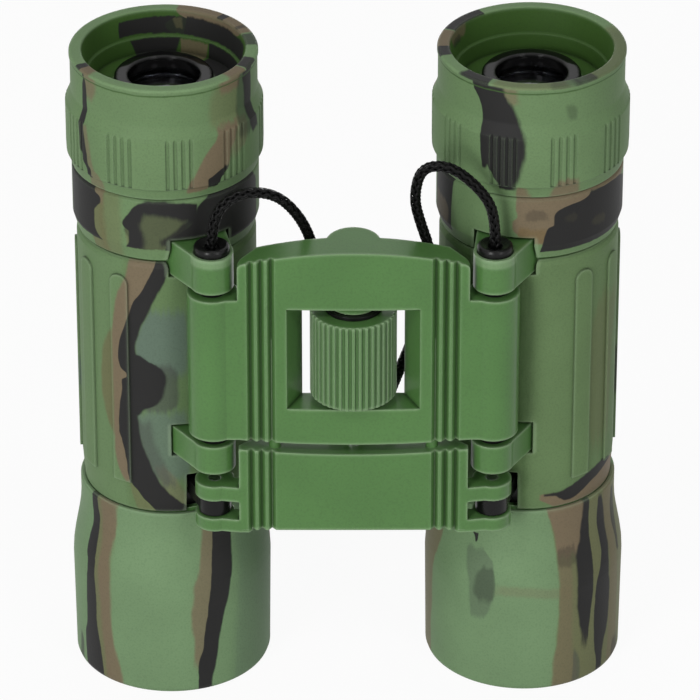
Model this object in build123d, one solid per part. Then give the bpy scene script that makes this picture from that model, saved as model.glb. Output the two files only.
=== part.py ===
from build123d import *
import math
import os

# Compact folding binoculars: two barrels hinged to a centre bridge, standing on their objective hoods.
# Millimetres. +Z runs up the barrels to the eyecups, the bridge is on the -Y side.

# Stance of the two barrels
PIN_HALF_SPACING = 22.75
ARM = 19.4
LEFT_OPEN = 23.5
RIGHT_OPEN = 18.0

# Heights up a barrel
HOOD_TOP = 34.5
HOOD_FLARE = (19.0, 31.0)
WAIST_TOP = 40.0
ARMOUR_TOP = 82.0
COLLAR_BOTTOM = 82.6
COLLAR_TOP = 93.8
GRIP_BOTTOM = 94.1
GRIP_SHOULDER = (105.2, 107.0)
CUP_FLOOR = 106.7
CUP_LEDGE = 109.4
LIP_BOTTOM = 113.0
RIM_TOP = 113.8

# Radii round a barrel axis
HOOD_R = 16.6
HOOD_NECK_R = 15.05
HOOD_MOUTH_R = 13.75
ARMOUR_R = 14.65
WAIST_R = 14.3
BEAD_RISE = 0.4
COLLAR_R = 15.2
GRIP_R = 16.0
EYECUP_R = 15.1
LIP_R = 15.25
CUP_MOUTH_R = 13.4
CUP_WALL_R = 12.6
CUP_LEDGE_R = 12.2
FRONT_TUBE_R = 14.3
FRONT_BORE_R = 13.5
TUBE_R = 13.6
TUBE_BORE_R = 12.6
TUBE_BOTTOM = 5.0
TUBE_TOP = 93.4

# Hinge lugs on the tubes and the knuckles between them
LUG_R = 3.5
LUG_ROOT_HALF = 5.0
UPPER_LUG = (79.9, 86.15)
LOWER_LUG = (46.15, 51.2)
LUG_GAP = 0.45
KNUCKLE_R = 4.1
KNUCKLE_SPAN = (52.8, 78.9)
HINGE_WASHER_R = 2.4
PIN_R = 1.4
RUNNING = 0.05

# Bridge, focus window and wheel
BRIDGE_HALF = 18.7
BRIDGE_FRONT = -4.4
BRIDGE_EDGE_FRONT = -3.5
BRIDGE_BACK = 1.1
BACK_CHAMFER = 3.2
BRIDGE_BOTTOM = 52.8
BRIDGE_SAG = 0.4
BRIDGE_TOP = 88.1
BRIDGE_SHOULDER = 85.4
SHOULDER_ROUND = 1.1
BOSS_R = 4.4
WEB_START = 16.5
WEB_BACK = 0.0
WINDOW = (59.0, 77.6)
WINDOW_FRONT_HALF = 11.4
WINDOW_BACK_HALF = 8.3
REED_START = 13.3
REED_PITCH = 1.67
REED_COUNT = 3
REED_HALF_WIDTH = 0.62
REED_DEPTH = 0.8
WHEEL_R = 7.05
WHEEL_SPAN = (60.2, 75.7)
WHEEL_CHAMFER = 0.2
WHEEL_FLUTES = 40
FLUTE_R = 0.34
THRUST_WASHER_R = 4.7
THRUST_WASHER_SPAN = (75.8, 76.4)
SPIGOT_R = 3.9
SPIGOT_BOTTOM = 76.5
NUT_R = 3.2
JOURNAL_R = 2.0
JOURNAL_TOP = 84.0
SCREW_R = 1.5
SCREW_TOP = 74.0
ROD_X = 12.8
ROD_Y = -1.75
ROD_R = 1.0
ROD_TOP = 70.0

# Focusing plate, its forks and the objective carriages
PLATE_SPAN = (35.5, 51.0)
PLATE_HOLLOW = 0.5
PLATE_BACK = 1.0
UPPER_PRONG = (40.8, 43.5)
LOWER_PRONG = (35.0, 37.35)
FORK_EYE_R = 3.2
NECK_REACH = 1.15
FORK_PIN_R = 1.0
ARM_SPAN = (37.65, 40.5)
ARM_EYE_R = 2.7
ARM_HALF_WIDTH = 2.3
FOCUS_OUT = 2.4
FOCUS_IN = 0.8
SLOT_MARGIN = 0.4
CELL_BOTTOM = 9.0
CELL_TOP = 19.0
CELL_R = 13.45
CELL_BORE_R = 12.4
CARRIAGE_R = 12.5
CARRIAGE_BORE_R = 11.5
LENS_R = 12.85
LENS_RING_HIGH = 2.2
CROWN_EDGE = (2.4, 3.4)
CROWN_BULGES = (1.3, 1.5)
FLINT_TOP = 5.8

# Prisms and eyepieces
CAGE_SPAN = (49.0, 73.0)
PRISM_LEG = 17.0
PRISM_HALF_DEPTH = 6.0
PRISM_GAP = 0.4
LIGHT_HOLE_R = 5.6
CAGE_WALL = 1.4
CAGE_POCKET = (-10.2, 11.8)
CAGE_FLAT = (9.0, 12.0)
CAGE_FLAT_MARGIN = 3.0
CLIP_HEAD_HALF = 6.0
CLIP_FOOT_HALF = 4.4
CLIP_THICK = 0.5
CLIP_HALF_WIDTH = 2.0
STOP_SPAN = (76.0, 77.2)
STOP_R = 6.2
HOUSING_BOTTOM = 80.0
HOUSING_TOP = 105.6
HOUSING_NECK_R = 12.2
EYEPIECE_R = 8.3
EYEPIECE_BORE_R = 7.2
EYEPIECE_SPAN = (86.0, 107.4)
EYEPIECE_LIP = 0.6
FIELD_LENS_RISE = 3.0
EYE_LENS_THICK = 3.6
BEZEL_TOP = 109.0
BEZEL_R = 8.0
BEZEL_BORE_R = 5.8

# Raised beads on the armour and rib groups on the eyepiece grips, degrees round the axis from the hinge
BEAD_FIRST = 54.0
BEAD_PITCH = 30.0
BEAD_COUNT = 4
BEAD_HALF_WIDTH = 1.65
BEAD_SPAN = (39.9, 79.0)
RIB_GROUPS = 10
RIBS_PER_GROUP = 3
RIB_PITCH = 4.6
RIB_GROOVE_R = 0.36
RIB_GROOVE_DEPTH = 0.26
RIB_SPAN = (96.2, 106.0)
LEFT_RIB_PHASE = 13.5
RIGHT_RIB_PHASE = 0.0

# Neck cord and its put-away coil
CORD_R = 0.95
CAP_R = 2.9
CAP_SPAN = (84.6, 87.5)
CAP_ROUND = 0.5
CAP_RECESS_R = 1.2
CAP_DISH = 0.45
CAP_FLOOR = 86.6
COIL_MEAN_R = 9.5
COIL_PITCH = 2.4
COIL_TURNS = 6.5
COIL_BEHIND_PINS = 70.0
TIE_THICK = 0.6
TIE_SLACK = 0.3
TIE_WIDTH = 4.0

# The origin is on the floor, midway across and from the wheel's front to the back of the hoods
LEFT_REACH = PIN_HALF_SPACING + ARM * math.sin(math.radians(LEFT_OPEN))
RIGHT_REACH = PIN_HALF_SPACING + ARM * math.sin(math.radians(RIGHT_OPEN))
BRIDGE_X = (LEFT_REACH - RIGHT_REACH) / 2
BACK_REACH = ARM * math.cos(math.radians(RIGHT_OPEN)) + HOOD_R
BRIDGE_Y = (WHEEL_R - BACK_REACH) / 2
BRIDGE_PLACE = Pos(BRIDGE_X, BRIDGE_Y, 0)


def turned(*profile):
    """Solid turned about Z from (radius, height) corners."""
    return revolve(make_face(Plane.XZ * Polyline(*profile, close=True)), Axis.Z)


def rod(radius, span, x=0.0, y=0.0):
    """Upright round bar between two heights."""
    low, high = span
    return Pos(x, y, (low + high) / 2) * Cylinder(radius, high - low)


def ring(outer, inner, span):
    """Upright washer or sleeve between two heights."""
    return rod(outer, span) - rod(inner, span)


def block(x_span, y_span, z_span):
    """Square block between three pairs of limits."""
    size = [high - low for low, high in (x_span, y_span, z_span)]
    middle = [(high + low) / 2 for low, high in (x_span, y_span, z_span)]
    return Pos(*middle) * Box(*size)


def slab(outline, span):
    """Flat outline in plan, raised between two heights."""
    low, high = span
    return Pos(0, 0, low) * extrude(outline, high - low, dir=(0, 0, 1))


def round_about(shape, degrees):
    """Turn a shape about Z, counted from the hinge side towards the outer side."""
    return Rot(0, 0, degrees) * shape


def widened(span, margin):
    """A span with the same margin added at both ends."""
    return (span[0] - margin, span[1] + margin)


# Pieces of one barrel, drawn on its own axis with the hinge pin straight in front at -Y

def lug_outline(extra=0.0):
    """Plan of a hinge lug: a tapering arm from the tube to the knuckle."""
    eye = Pos(0, -ARM) * Circle(LUG_R + extra)
    root = LUG_ROOT_HALF + extra
    tip = LUG_R + extra
    arm = Polygon((-root, -TUBE_R + 1), (root, -TUBE_R + 1), (tip, -ARM), (-tip, -ARM), align=None)
    return eye + arm


def arm_slot(margin):
    """Room for the focusing arm over its whole travel."""
    reach = ARM_HALF_WIDTH + margin
    low = ARM_SPAN[0] - FOCUS_OUT - margin
    high = ARM_SPAN[1] + FOCUS_IN + margin
    return block((-reach, reach), (-ARM, -CARRIAGE_BORE_R + 2), (low, high))


def barrel_tube():
    tube = turned(
        (FRONT_BORE_R, TUBE_BOTTOM), (FRONT_TUBE_R, TUBE_BOTTOM), (FRONT_TUBE_R, HOOD_TOP - 0.6),
        (TUBE_R, HOOD_TOP + 0.2), (TUBE_R, TUBE_TOP), (TUBE_BORE_R, TUBE_TOP),
        (TUBE_BORE_R, HOOD_TOP - 1.4), (FRONT_BORE_R, HOOD_TOP - 2.6),
    )
    core = rod(TUBE_BORE_R, (TUBE_BOTTOM, TUBE_TOP))
    for span in (UPPER_LUG, LOWER_LUG):
        lug = slab(lug_outline(), span) - core - rod(PIN_R + RUNNING, span, 0, -ARM)
        tube += lug
    tube -= rod(CAP_R + RUNNING, (CAP_SPAN[0] - RUNNING, UPPER_LUG[1]), 0, -ARM)
    return tube - arm_slot(SLOT_MARGIN)


def lug_openings():
    """Cut-outs that leave a dark line round each lug."""
    return [slab(lug_outline(LUG_GAP), widened(span, LUG_GAP)) for span in (UPPER_LUG, LOWER_LUG)]


def bead():
    """Long raised bead with round ends, on the -Y side before it is turned into place."""
    low, high = BEAD_SPAN
    crest = ARMOUR_R + BEAD_RISE
    shoulder = high - BEAD_HALF_WIDTH
    straight = block((-BEAD_HALF_WIDTH, BEAD_HALF_WIDTH), (-crest - 1, -WAIST_R + 0.4), (low, shoulder))
    top = Pos(0, -crest, shoulder) * Rot(90, 0, 0) * Cylinder(BEAD_HALF_WIDTH, 2.4)
    return (straight + top) & ring(crest, WAIST_R - 0.4, (low, high))


def armour():
    sleeve = turned(
        (TUBE_R, HOOD_TOP + 0.2), (WAIST_R, HOOD_TOP + 0.2), (ARMOUR_R, WAIST_TOP),
        (ARMOUR_R, ARMOUR_TOP - 0.9), (ARMOUR_R - 0.3, ARMOUR_TOP - 0.3), (ARMOUR_R - 0.7, ARMOUR_TOP),
        (TUBE_R, ARMOUR_TOP),
    )
    for number in range(BEAD_COUNT):
        sleeve += round_about(bead(), BEAD_FIRST + number * BEAD_PITCH)
    for opening in lug_openings():
        sleeve -= opening
    return sleeve - arm_slot(SLOT_MARGIN + 0.2)


def rear_collar():
    collar = turned(
        (TUBE_R, COLLAR_BOTTOM), (COLLAR_R - 0.7, COLLAR_BOTTOM), (COLLAR_R, COLLAR_BOTTOM + 2.4),
        (COLLAR_R, COLLAR_TOP - 0.4), (COLLAR_R - 0.4, COLLAR_TOP), (TUBE_R, COLLAR_TOP),
    )
    return collar - lug_openings()[0]


def flare(steps=6):
    """Smooth curve of the hood from its full width in to its neck."""
    low, high = HOOD_FLARE
    corners = []
    for number in range(steps + 1):
        run = number / steps
        drop = run * run * (3 - 2 * run)
        corners.append((HOOD_R + (HOOD_NECK_R - HOOD_R) * drop, low + (high - low) * run))
    return corners


def objective_hood():
    return turned(
        (HOOD_MOUTH_R, 0.4), (HOOD_MOUTH_R + 0.4, 0), (HOOD_R - 1.0, 0), (HOOD_R - 0.4, 0.25),
        (HOOD_R - 0.2, 0.8), *flare(), (HOOD_NECK_R, HOOD_TOP - 0.4), (HOOD_NECK_R - 0.25, HOOD_TOP),
        (FRONT_TUBE_R, HOOD_TOP), (FRONT_TUBE_R, TUBE_BOTTOM), (HOOD_MOUTH_R, TUBE_BOTTOM),
    )


def objective_carriage():
    """Lens cell, long tail and the arm that reaches out to the fork."""
    sleeve = turned(
        (CELL_BORE_R, CELL_BOTTOM + FLINT_TOP), (LENS_R, CELL_BOTTOM + FLINT_TOP), (LENS_R, CELL_BOTTOM),
        (CELL_R, CELL_BOTTOM), (CELL_R, CELL_TOP), (CARRIAGE_R, CELL_TOP + 1.0),
        (CARRIAGE_R, ARM_SPAN[1]), (CARRIAGE_BORE_R, ARM_SPAN[1]), (CARRIAGE_BORE_R, CELL_TOP),
        (CELL_BORE_R, CELL_TOP - 1.0),
    )
    eye = Pos(0, -ARM) * Circle(ARM_EYE_R)
    neck = Polygon(
        (-ARM_HALF_WIDTH, -CARRIAGE_BORE_R), (ARM_HALF_WIDTH, -CARRIAGE_BORE_R),
        (ARM_HALF_WIDTH, -ARM), (-ARM_HALF_WIDTH, -ARM), align=None,
    )
    core = rod(CARRIAGE_BORE_R, ARM_SPAN)
    arm = slab(eye + neck, ARM_SPAN) - core - rod(FORK_PIN_R + RUNNING, ARM_SPAN, 0, -ARM)
    return sleeve + arm


def lens(radius, edge_span, low_bulge, high_bulge):
    """Round lens between two edge heights, each face bulging outwards by the given rise."""
    low, high = edge_span
    body = rod(radius, (low - low_bulge, high + high_bulge))
    low_curve = (radius ** 2 + low_bulge ** 2) / (2 * low_bulge)
    high_curve = (radius ** 2 + high_bulge ** 2) / (2 * high_bulge)
    body &= Pos(0, 0, low - low_bulge + low_curve) * Sphere(low_curve)
    return body & Pos(0, 0, high + high_bulge - high_curve) * Sphere(high_curve)


def objective_crown():
    return lens(LENS_R, [CELL_BOTTOM + rise for rise in CROWN_EDGE], *CROWN_BULGES)


def objective_flint():
    """Cupped rear lens that lies on the front lens."""
    blank = rod(LENS_R, (CELL_BOTTOM + CROWN_EDGE[1], CELL_BOTTOM + FLINT_TOP))
    return blank - objective_crown()


def objective_ring():
    return ring(LENS_R, LENS_R - 0.7, (CELL_BOTTOM, CELL_BOTTOM + LENS_RING_HIGH))


def prism_points():
    """Corners of the two prisms in the plane of the light path."""
    base = CAGE_SPAN[0] + 1.6
    half = PRISM_LEG * math.sqrt(0.5) / 2
    first = [(-half, base), (half, base), (-half - 1.0, base + 2 * half + 1.0), (-half - 3.9, base + 9.4)]
    shift = PRISM_GAP * math.sqrt(2)
    left = (-half - 1.0 + shift, base + 2 * half + 1.0)
    right = (left[0] + PRISM_LEG, left[1])
    bottom = (left[0] + 2 * half, left[1] - 2 * half)
    return first, [left, bottom, right]


def half_prism():
    first, _ = prism_points()
    outline = make_face(Plane.XZ * Polyline(*first, close=True))
    return extrude(outline, PRISM_HALF_DEPTH, both=True)


def roof_prism():
    """Main prism, its outer face drawn to a right-angled roof edge."""
    _, (left, bottom, right) = prism_points()
    face = make_face(Plane.XZ * Polyline(left, bottom, right, close=True))
    body = extrude(face, PRISM_HALF_DEPTH, both=True)
    edge = Vector(right[0] - bottom[0], 0, right[1] - bottom[1])
    plane = Plane(origin=(bottom[0], 0, bottom[1]), x_dir=(0, 1, 0), z_dir=edge)
    deep = 3 * PRISM_HALF_DEPTH
    inward = 1 if plane.to_local_coords(Vector(left[0], 0, left[1])).Y > 0 else -1
    roof = Polygon(
        (0, 0), (PRISM_HALF_DEPTH, inward * PRISM_HALF_DEPTH), (PRISM_HALF_DEPTH, inward * deep),
        (-PRISM_HALF_DEPTH, inward * deep), (-PRISM_HALF_DEPTH, inward * PRISM_HALF_DEPTH), align=None,
    )
    return body & extrude(plane * roof, edge.length)


def prism_cage():
    """Round holder with a pocket for the prisms and a light hole at each end."""
    low, high = CAGE_SPAN
    deep = PRISM_HALF_DEPTH + 0.2
    pocket = block(CAGE_POCKET, (-deep, deep), (low + CAGE_WALL, high - CAGE_WALL))
    cage = rod(TUBE_BORE_R, CAGE_SPAN) - pocket
    tall = (low + CAGE_FLAT_MARGIN, high - CAGE_FLAT_MARGIN)
    flat = block((-TUBE_BORE_R, TUBE_BORE_R), CAGE_FLAT, tall)
    return cage - rod(LIGHT_HOLE_R, CAGE_SPAN) - flat - mirror(flat, about=Plane.XZ)


def prism_clip():
    """Bent spring strip that presses the prisms down from the lid of the holder."""
    top = CAGE_SPAN[1] - CAGE_WALL
    _, (left, _, _) = prism_points()
    low = left[1] + 0.1
    bend = 0.4
    half = [
        (CLIP_FOOT_HALF, low), (CLIP_FOOT_HALF, low + bend), (CLIP_HEAD_HALF, top - bend),
        (CLIP_HEAD_HALF, top), (CLIP_HEAD_HALF - CLIP_THICK, top),
        (CLIP_FOOT_HALF - CLIP_THICK, low + CLIP_THICK),
    ]
    other = [(-x, z) for x, z in reversed(half)]
    return extrude(make_face(Plane.XZ * Polyline(*half, *other, close=True)), CLIP_HALF_WIDTH, both=True)


def field_stop():
    return ring(TUBE_BORE_R, STOP_R, STOP_SPAN)


def eyepiece_housing():
    return turned(
        (EYEPIECE_R + RUNNING, HOUSING_BOTTOM), (TUBE_BORE_R, HOUSING_BOTTOM), (TUBE_BORE_R, TUBE_TOP),
        (TUBE_R, TUBE_TOP), (TUBE_R, COLLAR_TOP), (HOUSING_NECK_R, COLLAR_TOP),
        (HOUSING_NECK_R, HOUSING_TOP), (EYEPIECE_R + RUNNING, HOUSING_TOP),
    )


def eyepiece_tube():
    low, high = EYEPIECE_SPAN
    seat = EYEPIECE_BORE_R - EYEPIECE_LIP
    return turned(
        (seat, low), (EYEPIECE_R, low), (EYEPIECE_R, high), (EYEPIECE_BORE_R, high),
        (EYEPIECE_BORE_R, low + 1.5), (seat, low + 1.5),
    )


def eyepiece_bezel():
    """Black ring round the eye lens, with a wide flat face."""
    low = EYEPIECE_SPAN[1]
    return turned(
        (BEZEL_BORE_R, low - EYEPIECE_LIP), (EYEPIECE_BORE_R, low - EYEPIECE_LIP), (EYEPIECE_BORE_R, low),
        (BEZEL_R, low), (BEZEL_R, BEZEL_TOP - 0.3), (BEZEL_R - 0.3, BEZEL_TOP),
        (BEZEL_BORE_R + 0.2, BEZEL_TOP), (BEZEL_BORE_R, BEZEL_TOP - 0.2),
    )


def field_lens():
    low = EYEPIECE_SPAN[0] + FIELD_LENS_RISE
    return lens(EYEPIECE_BORE_R, (low, low + 2.0), 0.6, 1.4)


def eye_lens_edges():
    """Heights of the eye lens at its rim."""
    high = EYEPIECE_SPAN[1] - EYEPIECE_LIP - 0.8
    return (high - EYE_LENS_THICK, high)


def lens_spacer():
    low = EYEPIECE_SPAN[0] + FIELD_LENS_RISE + 2.4
    return ring(EYEPIECE_BORE_R, EYEPIECE_BORE_R - EYEPIECE_LIP, (low, eye_lens_edges()[0] - 0.1))


def eye_lens():
    return lens(EYEPIECE_BORE_R, eye_lens_edges(), 0.3, 0.8)


def eyecup(phase, bore):
    """Grip ring and soft cup in one moulding, with a rolled lip and groups of fine grooves."""
    seat = EYEPIECE_R + 0.3
    cup = turned(
        (bore, GRIP_BOTTOM), (COLLAR_R, GRIP_BOTTOM), (GRIP_R - 0.35, RIB_SPAN[0] - 0.3),
        (GRIP_R - 0.05, RIB_SPAN[0]), (GRIP_R, RIB_SPAN[0] + 1.5), (GRIP_R, GRIP_SHOULDER[0] - 0.4),
        (GRIP_R - 0.25, GRIP_SHOULDER[0]), (EYECUP_R + 0.05, GRIP_SHOULDER[1]),
        (EYECUP_R, GRIP_SHOULDER[1] + 0.3), (EYECUP_R, LIP_BOTTOM - 0.2),
        (LIP_R, LIP_BOTTOM), (LIP_R, RIM_TOP - 0.35), (LIP_R - 0.12, RIM_TOP - 0.12), (LIP_R - 0.4, RIM_TOP),
        (CUP_MOUTH_R, RIM_TOP), (CUP_MOUTH_R - 0.2, RIM_TOP - 0.2), (CUP_WALL_R, CUP_LEDGE + 0.2),
        (CUP_LEDGE_R, CUP_LEDGE), (CUP_LEDGE_R - 0.3, CUP_FLOOR), (seat, CUP_FLOOR),
        (seat, HOUSING_TOP + 0.1), (bore, HOUSING_TOP + 0.1),
    )
    groove = rod(RIB_GROOVE_R, RIB_SPAN, y=-(GRIP_R + RIB_GROOVE_R - RIB_GROOVE_DEPTH))
    middle = RIBS_PER_GROUP / 2
    places = [phase + group * 360 / RIB_GROUPS + (number - middle) * RIB_PITCH
              for group in range(RIB_GROUPS) for number in range(RIBS_PER_GROUP + 1)]
    return cup - [round_about(groove, angle) for angle in places]


# Pieces of the bridge, drawn about the middle of the line between the two hinge pins

def bridge_plan(back, half):
    """Plan of a plate whose front bows gently forward."""
    front = ThreePointArc((-half, BRIDGE_EDGE_FRONT), (0, BRIDGE_FRONT), (half, BRIDGE_EDGE_FRONT))
    cut = half - BACK_CHAMFER
    rest = Polyline(
        (half, BRIDGE_EDGE_FRONT), (half, back - BACK_CHAMFER), (cut, back), (-cut, back),
        (-half, back - BACK_CHAMFER), (-half, BRIDGE_EDGE_FRONT),
    )
    return make_face(front + rest)


def reeds(span):
    """Upright V grooves in two groups on the front of a plate."""
    cuts = []
    for number in range(REED_COUNT):
        x = REED_START + number * REED_PITCH
        face = BRIDGE_FRONT + (BRIDGE_EDGE_FRONT - BRIDGE_FRONT) * (x / BRIDGE_HALF) ** 2
        outline = Polygon(
            (x - REED_HALF_WIDTH, face), (x - REED_HALF_WIDTH, face - 1), (x + REED_HALF_WIDTH, face - 1),
            (x + REED_HALF_WIDTH, face), (x, face + REED_DEPTH), align=None,
        )
        groove = slab(outline, span)
        cuts += [groove, mirror(groove, about=Plane.YZ)]
    return cuts


def web(side, span, inner_front, outer_reach, outer_front):
    """Web from the edge of a plate out to a hinge axis, its front running on from the plate's face."""
    pin = side * PIN_HALF_SPACING
    outline = Polygon(
        (side * WEB_START, inner_front), (side * BRIDGE_HALF, inner_front),
        (pin - side * outer_reach, outer_front), (pin, outer_front), (pin, WEB_BACK),
        (side * WEB_START, WEB_BACK), align=None,
    )
    return slab(outline, span)


def edged(low_side, low_middle, high_side, high_middle):
    """Front view of a plate whose lower and upper edges are shallow arcs."""
    half = BRIDGE_HALF
    upper = ThreePointArc((-half, high_side), (0, high_middle), (half, high_side))
    lower = ThreePointArc((half, low_side), (0, low_middle), (-half, low_side))
    sides = Line((half, high_side), (half, low_side)) + Line((-half, low_side), (-half, high_side))
    return make_face(Plane.XZ * (upper + sides + lower))


def window():
    """Focus window, wider at the front than at the back."""
    front, back = BRIDGE_FRONT - 1, BOSS_R + 0.5
    outline = Polygon(
        (-WINDOW_FRONT_HALF, front), (WINDOW_FRONT_HALF, front), (WINDOW_BACK_HALF, BRIDGE_BACK),
        (WINDOW_BACK_HALF, back), (-WINDOW_BACK_HALF, back), (-WINDOW_BACK_HALF, BRIDGE_BACK), align=None,
    )
    return slab(outline, WINDOW)


def bridge_frame():
    front = edged(BRIDGE_BOTTOM, BRIDGE_BOTTOM - BRIDGE_SAG, BRIDGE_SHOULDER, BRIDGE_TOP)
    tall = (BRIDGE_BOTTOM - BRIDGE_SAG, BRIDGE_TOP)
    face = extrude(front, 2 * BOSS_R, both=True)
    corners = face.edges().filter_by(Axis.Y).group_by(Axis.Z)[-1]
    face = fillet(corners, SHOULDER_ROUND)
    plate = (slab(bridge_plan(BRIDGE_BACK, BRIDGE_HALF), tall) + rod(BOSS_R, tall)) & face
    for side in (-1, 1):
        x = side * PIN_HALF_SPACING
        reach = math.sqrt(KNUCKLE_R ** 2 - BRIDGE_EDGE_FRONT ** 2)
        plate += web(side, KNUCKLE_SPAN, BRIDGE_EDGE_FRONT, reach, BRIDGE_EDGE_FRONT)
        plate += rod(KNUCKLE_R, KNUCKLE_SPAN, x, 0)
    plate -= window()
    plate += rod(SPIGOT_R, (SPIGOT_BOTTOM, WINDOW[1]))
    for cut in reeds(widened(tall, 1)):
        plate -= cut
    for side in (-1, 1):
        plate -= rod(PIN_R, KNUCKLE_SPAN, side * PIN_HALF_SPACING, 0)
        plate -= rod(ROD_R + RUNNING, (tall[0], ROD_TOP + FOCUS_IN + 1), side * ROD_X, ROD_Y)
    plate -= rod(SCREW_R + 0.3, (tall[0], WINDOW[0]))
    return plate - rod(JOURNAL_R + RUNNING, (SPIGOT_BOTTOM, JOURNAL_TOP + 0.3))


def focus_wheel():
    wheel = rod(WHEEL_R, WHEEL_SPAN)
    wheel = chamfer(wheel.edges().filter_by(GeomType.CIRCLE), WHEEL_CHAMFER)
    spots = PolarLocations(WHEEL_R, WHEEL_FLUTES, 90 + 180 / WHEEL_FLUTES)
    flutes = [spot * rod(FLUTE_R, widened(WHEEL_SPAN, 1)) for spot in spots]
    return wheel - flutes - rod(NUT_R, WHEEL_SPAN)


def focus_nut():
    """Threaded brass insert with the journal that turns in the bridge."""
    nut = rod(NUT_R, WHEEL_SPAN) + rod(JOURNAL_R, (WHEEL_SPAN[1], JOURNAL_TOP))
    return nut - rod(SCREW_R + RUNNING, (WHEEL_SPAN[0], SCREW_TOP + FOCUS_IN + 0.6))


def thrust_washers():
    upper = ring(THRUST_WASHER_R, JOURNAL_R + RUNNING, THRUST_WASHER_SPAN)
    lower = ring(THRUST_WASHER_R, SCREW_R + 0.3, (WINDOW[0], WHEEL_SPAN[0] - 0.1))
    return [upper, lower]


def hinge_washers():
    spans = [(KNUCKLE_SPAN[1], UPPER_LUG[0] - 0.1), (LOWER_LUG[1] + 0.1, KNUCKLE_SPAN[0])]
    washers = [ring(HINGE_WASHER_R, PIN_R, span) for span in spans]
    return [Pos(side * PIN_HALF_SPACING, 0, 0) * washer for side in (-1, 1) for washer in washers]


def hinge_pin(side):
    return rod(PIN_R, (LOWER_LUG[0] + 0.2, CAP_SPAN[0]), side * PIN_HALF_SPACING, 0)


def strap_cap(side):
    """Round plug with a dished top that holds an end of the cord."""
    low, high = CAP_SPAN
    cap = turned(
        (0, low), (CAP_R, low), (CAP_R, high - CAP_ROUND), (CAP_R - 0.15, high - 0.15),
        (CAP_R - CAP_ROUND, high), (CAP_RECESS_R, high - CAP_DISH), (CAP_RECESS_R, CAP_FLOOR), (0, CAP_FLOOR),
    )
    return Pos(side * PIN_HALF_SPACING, 0, 0) * cap


def focus_plate():
    low, high = PLATE_SPAN
    face = extrude(edged(low, low + PLATE_HOLLOW, high, high - PLATE_HOLLOW), 2 * BOSS_R, both=True)
    plate = slab(bridge_plan(PLATE_BACK, BRIDGE_HALF), PLATE_SPAN) & face
    for side in (-1, 1):
        x = side * PIN_HALF_SPACING
        neck = -math.sqrt(FORK_EYE_R ** 2 - NECK_REACH ** 2)
        for span in (UPPER_PRONG, LOWER_PRONG):
            plate += web(side, span, BRIDGE_EDGE_FRONT, NECK_REACH, neck) + rod(FORK_EYE_R, span, x, 0)
            plate -= rod(FORK_PIN_R, span, x, 0)
        plate -= rod(ROD_R, PLATE_SPAN, side * ROD_X, ROD_Y)
    for cut in reeds(widened(PLATE_SPAN, 1)):
        plate -= cut
    return plate - rod(SCREW_R, PLATE_SPAN)


def focus_screw():
    return rod(SCREW_R, (PLATE_SPAN[0] + PLATE_HOLLOW, SCREW_TOP))


def guide_rods():
    low = PLATE_SPAN[0] + PLATE_HOLLOW
    return [rod(ROD_R, (low, ROD_TOP), side * ROD_X, ROD_Y) for side in (-1, 1)]


def fork_pins():
    span = (LOWER_PRONG[0], UPPER_PRONG[1])
    return [rod(FORK_PIN_R, span, side * PIN_HALF_SPACING, 0) for side in (-1, 1)]


# Neck cord, routed about the bridge, and its coil on the floor behind

def coil_line(turn):
    """Middle of the cord in the coil, after so many turns: in on the lower layer, out on the upper."""
    half = COIL_TURNS / 2
    reach = COIL_PITCH * (half - 0.125)
    outer = COIL_MEAN_R + reach / 2
    away = abs(turn - half)
    inner = outer - reach
    blend = 0.25
    if away >= blend:
        radius = inner + COIL_PITCH * (away - blend / 2)
    else:
        radius = inner + COIL_PITCH * away * away / (2 * blend)
    climb = min(max((turn - half + blend) / (2 * blend), 0.0), 1.0)
    low = TIE_THICK + TIE_SLACK + CORD_R
    height = low + COIL_PITCH * climb * climb * (3 - 2 * climb)
    angle = math.pi - 2 * math.pi * turn
    return Vector(radius * math.cos(angle), COIL_BEHIND_PINS + radius * math.sin(angle), height)


def coil_heading(turn):
    step = 1e-5
    return (coil_line(turn + step) - coil_line(turn - step)).normalized()


def biarc(start, start_way, end, end_way):
    """Two arcs in a row that leave and arrive in the given directions."""
    across = end - start
    a = 2 * (1 - start_way.dot(end_way))
    b = 2 * across.dot(start_way + end_way)
    c = -across.dot(across)
    reach = (-b + math.sqrt(b * b - 4 * a * c)) / (2 * a)
    joint = (start + end + (start_way - end_way) * reach) / 2
    first = Edge.make_tangent_arc(start, start_way, joint)
    return [first, Edge.make_tangent_arc(joint, first % 1, end)]


def tube_along(path):
    """Round cord swept along a path, checked against its section times its length."""
    section = Plane(origin=path @ 0, z_dir=path % 0) * Circle(CORD_R)
    tube = sweep(section, path=path)
    ratio = tube.volume / (math.pi * CORD_R ** 2 * path.length)
    print("  length", round(path.length, 1), "volume ratio", round(ratio, 4))
    return tube


def coil_end(turn, away):
    """Point one cord diameter straight out of an end of the coil."""
    return coil_line(turn) + coil_heading(turn) * (2 * CORD_R * away)


def cord_coil():
    """One unbroken tube: quarter turns as pairs of arcs, with a straight lead at each end."""
    quarters = int(COIL_TURNS * 4)
    edges = [Edge.make_line(coil_end(0, -1), coil_line(0))]
    for number in range(quarters):
        turn, after = number / 4, (number + 1) / 4
        edges += biarc(coil_line(turn), coil_heading(turn), coil_line(after), coil_heading(after))
    edges.append(Edge.make_line(coil_line(COIL_TURNS), coil_end(COIL_TURNS, 1)))
    samples = 60
    line = [coil_line(number / samples) for number in range(int(COIL_TURNS * samples) + 1)]
    apart = min(
        (line[first] - line[second]).length
        for first in range(len(line)) for second in range(first + samples // 2, len(line))
    )
    print("coil least gap to itself", round(apart - 2 * CORD_R, 3))
    return tube_along(Wire(edges))


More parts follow.
